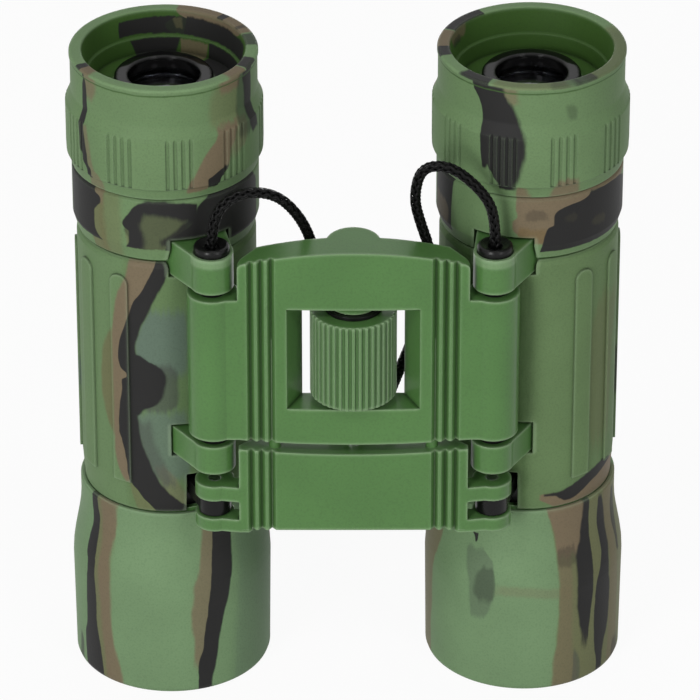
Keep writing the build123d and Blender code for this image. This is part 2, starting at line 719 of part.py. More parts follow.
def free_cord(points):
    """Cord through route points: straight runs joined by arcs."""
    corners = [Vector(*point) for point in points]
    radii = []
    for before, here, after in zip(corners, corners[1:], corners[2:]):
        turn = (here - before).get_angle(after - here)
        shorter = min((here - before).length, (after - here).length)
        radii.append(0.45 * shorter / math.tan(math.radians(turn / 2)))
    print("cord radii", [round(radius, 1) for radius in radii])
    return tube_along(Wire(FilletPolyline(*corners, radius=radii).edges()))


# From each strap cap the cord arches over the bridge, drops behind it and runs back to the coil
LEFT_ROUTE = [
    (-PIN_HALF_SPACING, 0.0, CAP_FLOOR), (-PIN_HALF_SPACING, 0.0, 92.3), (-19.0, 0.3, 96.6),
    (-12.6, 1.4, 96.2), (-8.4, 3.0, 90.8), (-6.2, 4.9, 83.5), (-4.2, 7.6, 73.0), (-1.2, 11.5, 62.0),
    (0.0, 17.0, 50.0), (0.0, 24.0, 38.0), (-1.0, 32.0, 27.0), (-4.4, 40.6, 17.0), (-9.2, 48.6, 9.0), (-12.4, 55.0, 4.2),
]
RIGHT_ROUTE = [
    (PIN_HALF_SPACING, 0.0, CAP_FLOOR), (PIN_HALF_SPACING, 0.0, 92.5), (20.6, 0.0, 97.0), (15.6, 0.2, 101.6),
    (10.8, 0.9, 101.0), (9.6, 1.9, 95.0), (10.6, 2.4, 90.4), (12.5, 2.5, 84.5), (12.1, 2.6, 77.5),
    (10.4, 3.4, 70.0), (8.0, 4.8, 62.5), (5.6, 6.6, 54.5), (3.0, 9.6, 47.0), (0.8, 13.5, 41.0),
    (0.0, 19.5, 34.0), (0.4, 27.0, 26.5), (3.0, 35.6, 19.4), (7.6, 44.4, 13.0), (11.6, 52.4, 8.2),
]
LEAD_IN = 9.0


def routed(route, turn, away):
    """Route carried on to an end of the coil, arriving in line with it."""
    end = coil_end(turn, away)
    before = end + coil_heading(turn) * (away * LEAD_IN)
    return free_cord(route + [tuple(before), tuple(end)])


def coil_tie():
    """Flat strap round the turns at the far side of the coil."""
    inner = min(Vector(coil_line(t / 40).X, coil_line(t / 40).Y - COIL_BEHIND_PINS).length
                for t in range(int(COIL_TURNS * 40)))
    outer = COIL_MEAN_R * 2 - inner
    inner = math.sqrt(inner ** 2 - (TIE_WIDTH / 2) ** 2)
    width = outer - inner + 2 * (CORD_R + TIE_SLACK)
    height = COIL_PITCH + 2 * (CORD_R + TIE_SLACK)
    hole = RectangleRounded(width, height, 1.0)
    strap = RectangleRounded(width + 2 * TIE_THICK, height + 2 * TIE_THICK, 1.0 + TIE_THICK)
    band = extrude(Plane.YZ * (strap - hole), TIE_WIDTH / 2, both=True)
    return Pos(0, COIL_BEHIND_PINS + (inner + outer) / 2, TIE_THICK + height / 2) * band


# Placing and writing

def placed(shape, side):
    """Carry a barrel piece, drawn on its own axis, to its hinge pin and opening angle."""
    if side > 0:
        return BRIDGE_PLACE * Pos(PIN_HALF_SPACING, 0, 0) * Rot(0, 0, -RIGHT_OPEN) * Pos(0, ARM, 0) * shape
    other = mirror(shape, about=Plane.YZ)
    return BRIDGE_PLACE * Pos(-PIN_HALF_SPACING, 0, 0) * Rot(0, 0, LEFT_OPEN) * Pos(0, ARM, 0) * other


def write(node, shape):
    """Write one node, a single solid or a group of like solids."""
    solids = [piece.solid() for piece in (shape if isinstance(shape, list) else [shape])]
    whole = Compound(children=solids) if len(solids) > 1 else solids[0]
    export_step(whole, f"parts/{node}.step")


BARREL_PIECES = {
    "barrel_tube": barrel_tube, "armour": armour, "rear_collar": rear_collar,
    "objective_hood": objective_hood, "objective_carriage": objective_carriage,
    "objective_crown": objective_crown, "objective_flint": objective_flint, "objective_ring": objective_ring,
    "prism_cage": prism_cage, "half_prism": half_prism, "roof_prism": roof_prism, "prism_clip": prism_clip,
    "field_stop": field_stop, "eyepiece_housing": eyepiece_housing, "eyepiece_tube": eyepiece_tube,
    "eyepiece_bezel": eyepiece_bezel, "field_lens": field_lens, "lens_spacer": lens_spacer,
    "eye_lens": eye_lens,
}
SIDES = {"left": -1, "right": 1}


def main():
    os.makedirs("parts", exist_ok=True)
    for name, make in BARREL_PIECES.items():
        shape = make()
        for side_name, side in SIDES.items():
            write(f"{side_name}_{name}", placed(shape, side))
    write("left_eyecup", placed(eyecup(LEFT_RIB_PHASE, HOUSING_NECK_R), -1))
    write("right_eyecup", placed(eyecup(RIGHT_RIB_PHASE, HOUSING_NECK_R + RUNNING), 1))
    for side_name, side in SIDES.items():
        write(f"{side_name}_hinge_pin", BRIDGE_PLACE * hinge_pin(side))
        write(f"{side_name}_strap_cap", BRIDGE_PLACE * strap_cap(side))
    for node, shape in (
        ("bridge_frame", bridge_frame()), ("focus_wheel", focus_wheel()), ("focus_nut", focus_nut()),
        ("focus_plate", focus_plate()), ("focus_screw", focus_screw()),
        ("neck_cord_left", routed(LEFT_ROUTE, 0, -1)),
        ("neck_cord_right", routed(RIGHT_ROUTE, COIL_TURNS, 1)),
        ("cord_coil", cord_coil()), ("coil_tie", coil_tie()),
    ):
        write(node, BRIDGE_PLACE * shape)
    for node, group in (
        ("thrust_washers", thrust_washers()), ("hinge_washers", hinge_washers()),
        ("guide_rods", guide_rods()), ("fork_pins", fork_pins()),
    ):
        write(node, [BRIDGE_PLACE * piece for piece in group])


main()
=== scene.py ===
"""Looks of a pair of compact folding binoculars in streaked rubber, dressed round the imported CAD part."""

import math

import bpy
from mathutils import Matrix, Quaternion, Vector


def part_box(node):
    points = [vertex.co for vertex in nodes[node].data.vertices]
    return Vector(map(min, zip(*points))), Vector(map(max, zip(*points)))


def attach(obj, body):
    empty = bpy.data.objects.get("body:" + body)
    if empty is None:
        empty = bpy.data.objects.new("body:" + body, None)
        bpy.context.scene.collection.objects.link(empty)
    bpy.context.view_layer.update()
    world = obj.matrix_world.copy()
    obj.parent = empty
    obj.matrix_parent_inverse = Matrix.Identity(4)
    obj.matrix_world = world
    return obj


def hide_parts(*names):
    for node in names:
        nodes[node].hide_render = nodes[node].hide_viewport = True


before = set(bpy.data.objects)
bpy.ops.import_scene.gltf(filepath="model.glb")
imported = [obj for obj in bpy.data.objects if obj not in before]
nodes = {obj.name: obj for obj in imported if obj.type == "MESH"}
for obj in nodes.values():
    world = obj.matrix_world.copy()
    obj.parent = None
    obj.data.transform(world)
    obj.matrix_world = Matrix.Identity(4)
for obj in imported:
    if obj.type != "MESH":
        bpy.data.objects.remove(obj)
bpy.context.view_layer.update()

MM = 0.001
SIDES = ("left", "right")
FLOAT = "NodeSocketFloat"
VECTOR = "NodeSocketVector"


def middle(node):
    """Middle of a CAD node's box."""
    low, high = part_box(node)
    return (low + high) / 2


BARREL_AXIS = {side: middle(f"{side}_objective_hood") for side in SIDES}
PIN = {side: middle(f"{side}_hinge_pin") for side in SIDES}
BRIDGE_MIDDLE = (PIN["left"] + PIN["right"]) / 2

# Heights and radii, in millimetres, over which an eyecup's rim and its inside take over from its wall
RIM_FADE = (113.3, 113.6)
MOUTH_FADE = (13.35, 13.1)

# Lean of an eye lens's coating for each metre from its axis
DOME = 60.0

# Drift and bristles of the brush: scales of their noise, degrees and millimetres, shares of a soft edge
DRIFT_SCALE = 160.0
DRIFT_ANGLE = 3.0
DRIFT_HEIGHT = 0.5
BRISTLE_SCALE = 1100.0
BRISTLE_STRETCH = 0.15
RAGGED_SIDE = 0.9
RAGGED_END = 1.8

# A streak longer than this many millimetres wavers: shares of its half width, and waves over its length
LONG_STREAK = 12.0
WAVER = 0.4
SWAY = 2.6
SWELL = 5.2
LONG_TAPER = 0.7
SHORT_TAPER = 0.3
SWEEP_STEPS = 8

# Painted shade in creases and painted highlight on edges: how far creases and edges reach, in metres, and the
# openness of a flat face and of a full crease
CREASE_REACH = 0.0009
EDGE_REACH = 0.0007
FLAT_OPEN = 0.9
CREASE_OPEN = 0.5
SPECK_SHARE = 0.12

# Colours as linear light
GREEN_HOOD = (0.156, 0.252, 0.128, 1)
GREEN_CUP = (0.132, 0.215, 0.098, 1)
GREEN_ARMOUR = (0.116, 0.187, 0.080, 1)
GREEN_RIM = (0.168, 0.272, 0.128, 1)
DEEP_GREEN = (0.050, 0.105, 0.030, 1)
# Painted shade: a darker green for the inside of an eyecup, where little light reaches
SHADED_INSIDE_GREEN = (0.046, 0.105, 0.021, 1)
BROWN = (0.168, 0.132, 0.082, 1)
OLIVE = (0.140, 0.130, 0.062, 1)
RUST = (0.160, 0.110, 0.046, 1)
BLACK = (0.018, 0.0178, 0.0176, 1)
GREY = (0.065, 0.075, 0.063, 1)
SLATE = (0.108, 0.152, 0.126, 1)
# Painted highlight: a light green laid along convex edges
EDGE_HIGHLIGHT = (0.42, 0.55, 0.36, 1)
# Painted shade: a near-black laid into creases and grooves
CREASE_SHADE = (0.004, 0.007, 0.003, 1)
GREEN_PAINT = (0.076, 0.180, 0.050, 1)


def scaled(colour, share):
    """Colour made darker or lighter by a share."""
    return [share * part for part in colour[:3]] + [1]


# Small helpers that place shader nodes
def feed(tree, socket, value):
    """Gives a socket a value, or a link from another node's socket."""
    if isinstance(value, bpy.types.NodeSocket):
        tree.links.new(value, socket)
    else:
        socket.default_value = value


def place(tree, kind, inputs=None, **settings):
    """New node with its settings and inputs, where an input is a value or another node's socket."""
    made = tree.nodes.new(kind)
    for name, value in settings.items():
        setattr(made, name, value)
    for name, value in (inputs or {}).items():
        feed(tree, made.inputs[name], value)
    return made


def sums(tree, operation, *values):
    """Output of a Math node on up to three values or sockets."""
    return place(tree, "ShaderNodeMath", dict(enumerate(values)), operation=operation).outputs[0]


def ramped(tree, value, low, high):
    """Smooth step from 0 at low to 1 at high."""
    step = place(tree, "ShaderNodeMapRange", {"Value": value, "From Min": low, "From Max": high},
                 interpolation_type="SMOOTHSTEP")
    return step.outputs["Result"]


def mixed(tree, factor, first, second):
    """Colour mixed from two colours or sockets."""
    made = place(tree, "ShaderNodeMix", data_type="RGBA")
    for number, value in ((0, factor), (6, first), (7, second)):
        feed(tree, made.inputs[number], value)
    return made.outputs[2]


def mottled(tree, mottle, colour, depth):
    """Colour that goes from a little darker to a little lighter with the mottling."""
    return mixed(tree, mottle, scaled(colour, 1 - depth), scaled(colour, 1 + depth))


def noise(tree, vector, scale, detail, roughness=0.5):
    """Height of a noise texture."""
    return place(tree, "ShaderNodeTexNoise", {
        "Vector": vector, "Scale": scale, "Detail": detail, "Roughness": roughness}).outputs["Fac"]


def group(name, inputs, outputs):
    """Empty shader group with named sockets, its input and output nodes."""
    tree = bpy.data.node_groups.new(name, "ShaderNodeTree")
    for socket, kind in inputs.items():
        tree.interface.new_socket(socket, in_out="INPUT", socket_type=kind)
    for socket, kind in outputs.items():
        tree.interface.new_socket(socket, in_out="OUTPUT", socket_type=kind)
    return tree, tree.nodes.new("NodeGroupInput").outputs, tree.nodes.new("NodeGroupOutput").inputs


def grouped(tree, which, **inputs):
    """Outputs of a group placed in a tree, with its inputs given in small letters."""
    made = place(tree, "ShaderNodeGroup", node_tree=which)
    for name, value in inputs.items():
        feed(tree, made.inputs[name.replace("_", " ").title()], value)
    return made.outputs


def barrel_place_group():
    """Where a point lies on a barrel: degrees round it from the front, millimetres up and out."""
    tree, given, result = group("barrel_place", {"Place": VECTOR}, {
        "Angle": FLOAT, "Height": FLOAT, "Radius": FLOAT, "Bristles": FLOAT})
    drift = noise(tree, given["Place"], DRIFT_SCALE, 3.0, 0.6)
    angle_drift = sums(tree, "MULTIPLY_ADD", drift, DRIFT_ANGLE, -DRIFT_ANGLE / 2)
    height_drift = sums(tree, "MULTIPLY_ADD", drift, DRIFT_HEIGHT, -DRIFT_HEIGHT / 2)
    split = place(tree, "ShaderNodeSeparateXYZ", {"Vector": given["Place"]}).outputs
    turned = sums(tree, "ARCTAN2", split["X"], sums(tree, "MULTIPLY", split["Y"], -1.0))
    flat = place(tree, "ShaderNodeCombineXYZ", {"X": split["X"], "Y": split["Y"]}).outputs[0]
    radius = place(tree, "ShaderNodeVectorMath", {0: flat}, operation="LENGTH").outputs["Value"]
    along = place(tree, "ShaderNodeMapping", {"Vector": given["Place"], "Scale": (1.0, 1.0, BRISTLE_STRETCH)})
    feed(tree, result["Angle"], sums(tree, "MULTIPLY_ADD", turned, 180 / math.pi, angle_drift))
    feed(tree, result["Height"], sums(tree, "MULTIPLY_ADD", split["Z"], 1 / MM, height_drift))
    feed(tree, result["Radius"], sums(tree, "DIVIDE", radius, MM))
    feed(tree, result["Bristles"], noise(tree, along.outputs[0], BRISTLE_SCALE, 4.0, 0.6))
    return tree


def brush_stroke_group():
    """Mask of one brushed streak between two edges and two ends, all of them soft."""
    tree, given, result = group("brush_stroke", {
        "Across": FLOAT, "Left": FLOAT, "Right": FLOAT, "Along": FLOAT, "Low": FLOAT, "High": FLOAT,
        "Soft Left": FLOAT, "Soft Right": FLOAT, "Soft Low": FLOAT, "Soft High": FLOAT,
        "Bristles": FLOAT, "Strength": FLOAT,
    }, {"Mask": FLOAT})
    bristle = sums(tree, "SUBTRACT", given["Bristles"], 0.5)
    mask = given["Strength"]
    for inner, outer, soft, ragged in (
            ("Across", "Left", "Soft Left", RAGGED_SIDE), ("Right", "Across", "Soft Right", RAGGED_SIDE),
            ("Along", "Low", "Soft Low", RAGGED_END), ("High", "Along", "Soft High", RAGGED_END)):
        depth = sums(tree, "DIVIDE", sums(tree, "SUBTRACT", given[inner], given[outer]), given[soft])
        depth = sums(tree, "MULTIPLY_ADD", bristle, ragged, depth)
        mask = sums(tree, "MULTIPLY", mask, ramped(tree, depth, -0.5, 0.5))
    feed(tree, result["Mask"], mask)
    return tree


def surface_group():
    """Mottling and fine grain shared by the rubber, paint and plastic."""
    tree, given, result = group("surface", {"Place": VECTOR, "Grain": FLOAT, "Patch": FLOAT}, {
        "Mottle": FLOAT, "Grain Height": FLOAT})
    feed(tree, result["Mottle"], noise(tree, given["Place"], given["Patch"], 4.0))
    feed(tree, result["Grain Height"], noise(tree, given["Place"], given["Grain"], 3.0))
    return tree


def edges_group():
    """How deep a point lies in a crease of its piece, and how near it is to an outer edge."""
    tree, given, result = group("edges", {"Crease Reach": FLOAT, "Edge Reach": FLOAT}, {
        "Crease": FLOAT, "Edge": FLOAT})
    for name, inside in (("Crease", False), ("Edge", True)):
        seen = place(tree, "ShaderNodeAmbientOcclusion", {"Distance": given[name + " Reach"]}, samples=6,
                     inside=inside, only_local=True)
        feed(tree, result[name], ramped(tree, seen.outputs["AO"], FLAT_OPEN, CREASE_OPEN))
    return tree


BARREL_PLACE = barrel_place_group()
BRUSH_STROKE = brush_stroke_group()
SURFACE = surface_group()
EDGES = edges_group()


def blank(name):
    """Material with a Principled shader, its tree and the shader."""
    made = bpy.data.materials.new(name)
    made.use_nodes = True
    return made, made.node_tree, made.node_tree.nodes["Principled BSDF"]


def object_place(tree, about=(0, 0, 0)):
    """Object coordinates, moved so that the given point is their origin."""
    spot = place(tree, "ShaderNodeTexCoord").outputs["Object"]
    moved = place(tree, "ShaderNodeMapping", {"Vector": spot, "Location": [-part for part in about]})
    return moved.outputs[0]


def bumped(tree, shader, height, strength, depth, edge_radius=0.0):
    """Fine relief on a shader, over edges rounded off to the given radius."""
    bump = place(tree, "ShaderNodeBump", {"Strength": strength, "Distance": depth, "Height": height})
    if edge_radius:
        rounded = place(tree, "ShaderNodeBevel", {"Radius": edge_radius}, samples=6)
        tree.links.new(rounded.outputs[0], bump.inputs["Normal"])
    tree.links.new(bump.outputs[0], shader.inputs["Normal"])


def roughened(tree, shader, mottle, low, high):
    """Roughness of a shader that follows the mottling."""
    spread = place(tree, "ShaderNodeMapRange", {"Value": mottle, "To Min": low, "To Max": high})
    tree.links.new(spread.outputs[0], shader.inputs["Roughness"])


def speckle_and_painted_light(tree, surface, shade, creases, edges):
    """Colour with a fine speckle, painted shade in creases and a painted highlight along edges."""
    near = grouped(tree, EDGES, crease_reach=CREASE_REACH, edge_reach=EDGE_REACH)
    speck = sums(tree, "MULTIPLY", ramped(tree, surface["Grain Height"], 0.45, 0.7), SPECK_SHARE)
    shade = mixed(tree, speck, shade, BLACK)
    # Painted shade darkens creases, then a painted highlight lightens convex edges
    shade = mixed(tree, sums(tree, "MULTIPLY", near["Crease"], creases), shade, CREASE_SHADE)
    return mixed(tree, sums(tree, "MULTIPLY", near["Edge"], edges), shade, EDGE_HIGHLIGHT)


def stroke(paint, shape, soft=(1.2, 1.2), ends=(0.8, 0.8), strength=1.0):
    """Streak up a barrel: (height, left, right) in millimetres and degrees from the front."""
    return paint, "Angle", shape, soft, ends, strength


def band(paint, shape, soft=(0.3, 0.3), ends=(3.0, 3.0), strength=1.0):
    """Streak round a barrel: (angle, low, high) in degrees from the front and millimetres."""
    return paint, "Height", shape, soft, ends, strength


def sweep(at, low, high, half, lean=0.0, bow=0.0):
    """Plain shape for a streak: a bowed line round an angle, which swells and narrows where it is long."""
    long = high - low > LONG_STREAK
    waver = WAVER if long else 0.0
    taper = LONG_TAPER if long else SHORT_TAPER
    shape = []
    for step in range(SWEEP_STEPS + 1):
        run = 2 * step / SWEEP_STEPS - 1
        middle_angle = at + lean * run + bow * run * run + waver * half * math.sin(SWAY * run + at)
        reach = half * (1 - taper * run * run) * (1 + waver * math.sin(SWELL * run + 2 * at))
        height = (low + high) / 2 + run * (high - low) / 2
        shape.append((height, middle_angle - reach, middle_angle + reach))
    return shape


def edge_line(tree, run, values):
    """Smooth curve through values at given shares of a streak's length."""
    low, high = min(y for _, y in values) - 1, max(y for _, y in values) + 1
    made = place(tree, "ShaderNodeFloatCurve", {"Value": run})
    line = made.mapping.curves[0]
    for _ in values[2:]:
        line.points.new(0.5, 0.5)
    for point, (x, y) in zip(line.points, values):
        point.location = (x, (y - low) / (high - low))
        point.handle_type = "AUTO_CLAMPED"
    made.mapping.update()
    return sums(tree, "MULTIPLY_ADD", made.outputs[0], high - low, low)


def streak_mask(tree, on_barrel, way, shape, soft, ends, strength):
    """Mask of one streak on a barrel."""
    shape = sorted(shape)
    low, high = shape[0][0], shape[-1][0]
    heart = sum(first + last for _, first, last in shape) / (2 * len(shape))
    along, across = on_barrel["Height"], on_barrel["Angle"]
    if way == "Height":
        along, across = across, along
    run = place(tree, "ShaderNodeMapRange", {"Value": along, "From Min": low, "From Max": high}).outputs[0]
    aside = sums(tree, "SUBTRACT", across, heart)
    if way == "Angle":
        aside = sums(tree, "WRAP", aside, 180.0, -180.0)
    edges = [edge_line(tree, run, [((spot[0] - low) / (high - low), spot[side] - heart) for spot in shape])
             for side in (1, 2)]
    return grouped(tree, BRUSH_STROKE, across=aside, left=edges[0], right=edges[1],
                   along=along, low=low, high=high,
                   soft_left=soft[0], soft_right=soft[1], soft_low=ends[0], soft_high=ends[1],
                   bristles=on_barrel["Bristles"], strength=strength)["Mask"]


def streaked(tree, on_barrel, mottle, ground, strokes):
    """Colour of a mottled ground with streaks brushed over it, in the order given."""
    shade = mottled(tree, ramped(tree, mottle, 0.25, 0.75), ground, 0.07)
    for paint, *streak in strokes:
        shade = mixed(tree, streak_mask(tree, on_barrel, *streak), shade, paint)
    return shade


def camo_rubber(name, side, ground, strokes, rim=None, inside=None):
    """Soft-touch rubber with brushed streaks; an eyecup's rim and inside have their own, the inside on a
    darker green of painted shade.
    """
    made, tree, shader = blank(name)
    axis = BARREL_AXIS[side]
    spot = object_place(tree, (axis.x, axis.y, 0))
    on_barrel = grouped(tree, BARREL_PLACE, place=spot)
    surface = grouped(tree, SURFACE, place=spot, grain=3200.0, patch=75.0)
    shade = streaked(tree, on_barrel, surface["Mottle"], ground, strokes)
    if rim:
        top = streaked(tree, on_barrel, surface["Mottle"], GREEN_RIM, rim)
        shade = mixed(tree, ramped(tree, on_barrel["Height"], *RIM_FADE), shade, top)
        # The inside of an eyecup is painted darker, as painted shade, under its own streaks
        deep = streaked(tree, on_barrel, surface["Mottle"], SHADED_INSIDE_GREEN, inside)
        shade = mixed(tree, ramped(tree, on_barrel["Radius"], *MOUTH_FADE), shade, deep)
    # Painted shade in creases and painted highlight along edges, over the speckled colour
    shade = speckle_and_painted_light(tree, surface, shade, creases=0.6, edges=0.2)
    tree.links.new(shade, shader.inputs["Base Color"])
    roughened(tree, shader, surface["Mottle"], low=0.50, high=0.62)
    shader.inputs["Specular IOR Level"].default_value = 0.14
    bumped(tree, shader, surface["Grain Height"], strength=0.35, depth=0.00006, edge_radius=0.0003)
    return made


def satin_paint(name):
    """Green sprayed paint with a fine orange peel and a soft shine on its edges."""
    made, tree, shader = blank(name)
    surface = grouped(tree, SURFACE, place=object_place(tree), grain=2600.0, patch=60.0)
    shade = mottled(tree, ramped(tree, surface["Mottle"], 0.3, 0.7), GREEN_PAINT, 0.05)
    # Painted shade in creases and painted highlight along edges, over the mottled green
    shade = speckle_and_painted_light(tree, surface, shade, creases=0.6, edges=0.36)
    tree.links.new(shade, shader.inputs["Base Color"])
    roughened(tree, shader, surface["Mottle"], low=0.25, high=0.33)
    shader.inputs["Specular IOR Level"].default_value = 0.3
    bumped(tree, shader, surface["Grain Height"], strength=0.25, depth=0.00005, edge_radius=0.00025)
    return made


def plain_finish(name, colour, roughness, metallic=0.0, grain=2000.0, relief=0.2, edge=0.00015, shine=0.5):
    """One-colour finish with mottled roughness and a little grain."""
    made, tree, shader = blank(name)
    surface = grouped(tree, SURFACE, place=object_place(tree), grain=grain, patch=220.0)
    tree.links.new(mottled(tree, surface["Mottle"], colour, 0.15), shader.inputs["Base Color"])
    roughened(tree, shader, surface["Mottle"], low=0.85 * roughness, high=1.15 * roughness)
    shader.inputs["Metallic"].default_value = metallic
    shader.inputs["Specular IOR Level"].default_value = shine
    bumped(tree, shader, surface["Grain Height"], strength=relief, depth=0.00004, edge_radius=edge)
    return made


def coated_glass(name, dome_axis=None):
    """Optical glass with a faint coating colour, on a dome about an axis where one is given."""
    made, tree, shader = blank(name)
    shader.inputs["Base Color"].default_value = (0.93, 0.97, 0.95, 1)
    shader.inputs["Transmission Weight"].default_value = 1.0
    shader.inputs["Roughness"].default_value = 0.01
    shader.inputs["IOR"].default_value = 1.52
    shader.inputs["Coat Weight"].default_value = 0.4
    shader.inputs["Coat Tint"].default_value = (0.75, 0.6, 0.9, 1)
    if dome_axis:
        aside = place(tree, "ShaderNodeMapping", {
            "Vector": object_place(tree, (dome_axis.x, dome_axis.y, 0)), "Scale": (DOME, DOME, 0.0)})
        facing = place(tree, "ShaderNodeNewGeometry").outputs["Normal"]
        leaning = place(tree, "ShaderNodeVectorMath", {0: facing, 1: aside.outputs[0]}, operation="ADD")
        leaning = place(tree, "ShaderNodeVectorMath", {0: leaning.outputs[0]}, operation="NORMALIZE")
        tree.links.new(leaning.outputs[0], shader.inputs["Coat Normal"])
        shader.inputs["Coat Weight"].default_value = 1.0
        shader.inputs["Coat Roughness"].default_value = 0.06
        shader.inputs["Coat Tint"].default_value = (0.95, 0.95, 1.0, 1)
    return made


# Streaks of each rubber piece, the lowest layer first
RIM_LINE = band(DEEP_GREEN, [(-200, 112.55, 112.78), (0, 112.55, 112.78), (200, 112.55, 112.78)],
                soft=(0.12, 0.12), strength=0.85)
LEFT_EYECUP = [
    stroke(BROWN, [(109.5, -53, -47), (111.5, -55, -45), (114, -56, -45)], soft=(1, 4), ends=(2, 1),
           strength=0.8),
    stroke(BROWN, [(94, -50, -38), (96.5, -49, -39), (97.5, -50, -44), (105, -54, -49)], soft=(1, 2.5),
           strength=0.7),
    stroke(BLACK, [(95.7, -49.5, -46.5), (97, -50, -46.7), (98.3, -53.5, -49.3), (100, -56.2, -50),
                   (103, -57, -51.7), (106, -57.8, -52.3), (109, -58, -52.9), (111.5, -57.6, -54),
                   (112.6, -56.6, -55), (115, -56.4, -55.4)], soft=(0.8, 0.9), ends=(0.4, 1)),
    stroke(OLIVE, [(106, 31, 52), (109, 30, 52), (113, 34, 55)], soft=(6, 3), ends=(2, 1), strength=0.45),
    stroke(BROWN, [(111.2, 39, 54), (112.5, 37, 54.5), (115, 37, 55)], soft=(4, 2), ends=(1, 1),
           strength=0.9),
    stroke(BROWN, [(95.2, 14.6, 27), (96.5, 15.2, 30), (98, 18, 40), (99.5, 20.8, 42), (101, 24, 43),
                   (102.5, 28, 46), (104, 32.6, 48.5), (106, 35, 50)], soft=(2.2, 2), ends=(0.5, 1.2)),
    stroke(BROWN, [(100, 41, 52), (103, 40, 58), (106, 38, 58)], soft=(3, 3), ends=(2, 1), strength=0.5),
    stroke(BLACK, [(95.5, 27.5, 34), (97, 27, 36), (97.8, 31, 40), (98.8, 38, 41.5)], soft=(0.8, 0.8),
           ends=(0.4, 0.6)),
    # Faint black between the grip ribs: partly a blackish streak, partly painted shade in the grooves
    stroke(BLACK, [(102, 53, 60), (104, 50, 62), (106.5, 51, 62), (110, 51.5, 62), (115, 54, 66)],
           soft=(3, 3), ends=(2.5, 1), strength=0.55),
    stroke(BLACK, [(102.3, 63, 71), (104, 60.7, 69.7), (106, 59.6, 67.5), (110, 59, 68.5), (115, 56, 69)],
           soft=(2, 1.5), ends=(0.8, 1)),
    stroke(BROWN, sweep(108, 94, 113.6, 12.2, lean=5), soft=(3, 3)),
    stroke(BLACK, sweep(128, 94, 113.6, 12.2, lean=7), soft=(1, 4)),
    stroke(BLACK, sweep(-128, 93, 111, 9.5, lean=8), soft=(1, 4)),
    stroke(BROWN, sweep(-114, 95, 112, 9.5, lean=5), soft=(3, 4)),
    RIM_LINE,
]
LEFT_RIM = [
    stroke(BROWN, sweep(-57, 110, 117, 6), soft=(1, 4)),
    stroke(BLACK, sweep(-63.5, 110, 117, 3), soft=(1, 1)),
    stroke(BROWN, sweep(53, 110, 117, 8), soft=(4, 1)),
    stroke(BLACK, sweep(69, 110, 117, 7), soft=(1, 2)),
    stroke(BLACK, sweep(101, 110, 117, 8), soft=(3, 3), strength=0.85),
    stroke(BROWN, sweep(141, 110, 117, 31), soft=(2, 2)),
    stroke(BLACK, sweep(137.5, 110, 117, 3), soft=(1.5, 1.5)),
    stroke(BLACK, sweep(119, 110, 117, 2), soft=(2, 2), strength=0.7),
]
LEFT_INSIDE = [
    stroke(BLACK, [(109.7, 158, 190), (112.6, 156, 184)], soft=(2, 2), ends=(0.3, 0.4), strength=0.9),
    stroke(OLIVE, [(110.6, 167, 172), (112.4, 168, 175)], soft=(2, 2), ends=(0.4, 0.4), strength=0.4),
    stroke(BLACK, [(109.9, 176, 216), (111, 180, 216), (112.6, 172, 215)], soft=(1, 1), ends=(0.3, 0.4)),
    stroke(BLACK, [(106, 172, 203), (108, 170, 206), (109.2, 168, 208)], soft=(2, 1.5), ends=(0.3, 0.3)),
    stroke(BROWN, sweep(142, 112.3, 115, 30), soft=(2, 2)),
    stroke(BLACK, [(109.6, 100, 166), (111, 98, 165), (112.7, 98, 164)], soft=(2, 1), ends=(0.3, 0.5)),
    stroke(BLACK, [(105, 104, 143), (109.2, 102, 144)], soft=(3, 1.5), ends=(0.3, 0.3)),
    stroke(BROWN, [(105, 146, 168), (109, 145, 168)], soft=(1.5, 1.5), ends=(0.5, 0.5), strength=0.8),
]
RIGHT_EYECUP = [
    stroke(BROWN, [(110.8, -16, -9), (112, -19, -10), (115, -20, -11)], soft=(1, 4), ends=(1.2, 1),
           strength=0.7),
    stroke(BLACK, [(98.9, -30.5, -28.5), (100.2, -31.2, -26), (101.5, -31.8, -22), (104, -32, -20)],
           soft=(0.8, 2), ends=(0.6, 1)),
    stroke(BLACK, [(95.4, -20, -10.7), (96.5, -20.5, -10), (97.5, -22.5, -8.5), (98.5, -25, -7),
                   (100, -27.5, -6.2), (101.5, -28, -5.4), (103, -31.9, -5), (105, -32.3, -5.4),
                   (107, -32.4, -8), (109, -33, -10.7), (110.4, -34.6, -13), (111.6, -37.5, -16),
                   (112.5, -39.6, -18), (115, -40, -20)], soft=(0.8, 3.5), ends=(0.5, 1)),
    stroke(BLACK, [(107.6, 22, 27), (109, 20.5, 27), (110.2, 20, 25)], soft=(3, 3), ends=(1, 1),
           strength=0.35),
    stroke(BROWN, [(94, -9.6, -1), (96.2, -9.2, -4)], soft=(1.5, 4), ends=(0.5, 0.8), strength=0.9),
    stroke(BROWN, [(94, 10, 30), (96, 13, 28), (97.2, 15, 27)], soft=(3, 3), ends=(0.5, 0.9), strength=0.9),
    stroke(BLACK, sweep(122, 93, 112, 12.2, lean=6), soft=(1, 5)),
    stroke(BROWN, sweep(140, 93, 108, 10.8, lean=8), soft=(2, 4)),
    stroke(BLACK, sweep(-150, 93, 111, 16.2, lean=6), soft=(2, 5)),
    stroke(BROWN, sweep(-108, 100, 113.6, 12.2, lean=5), soft=(3, 3)),
    RIM_LINE,
]
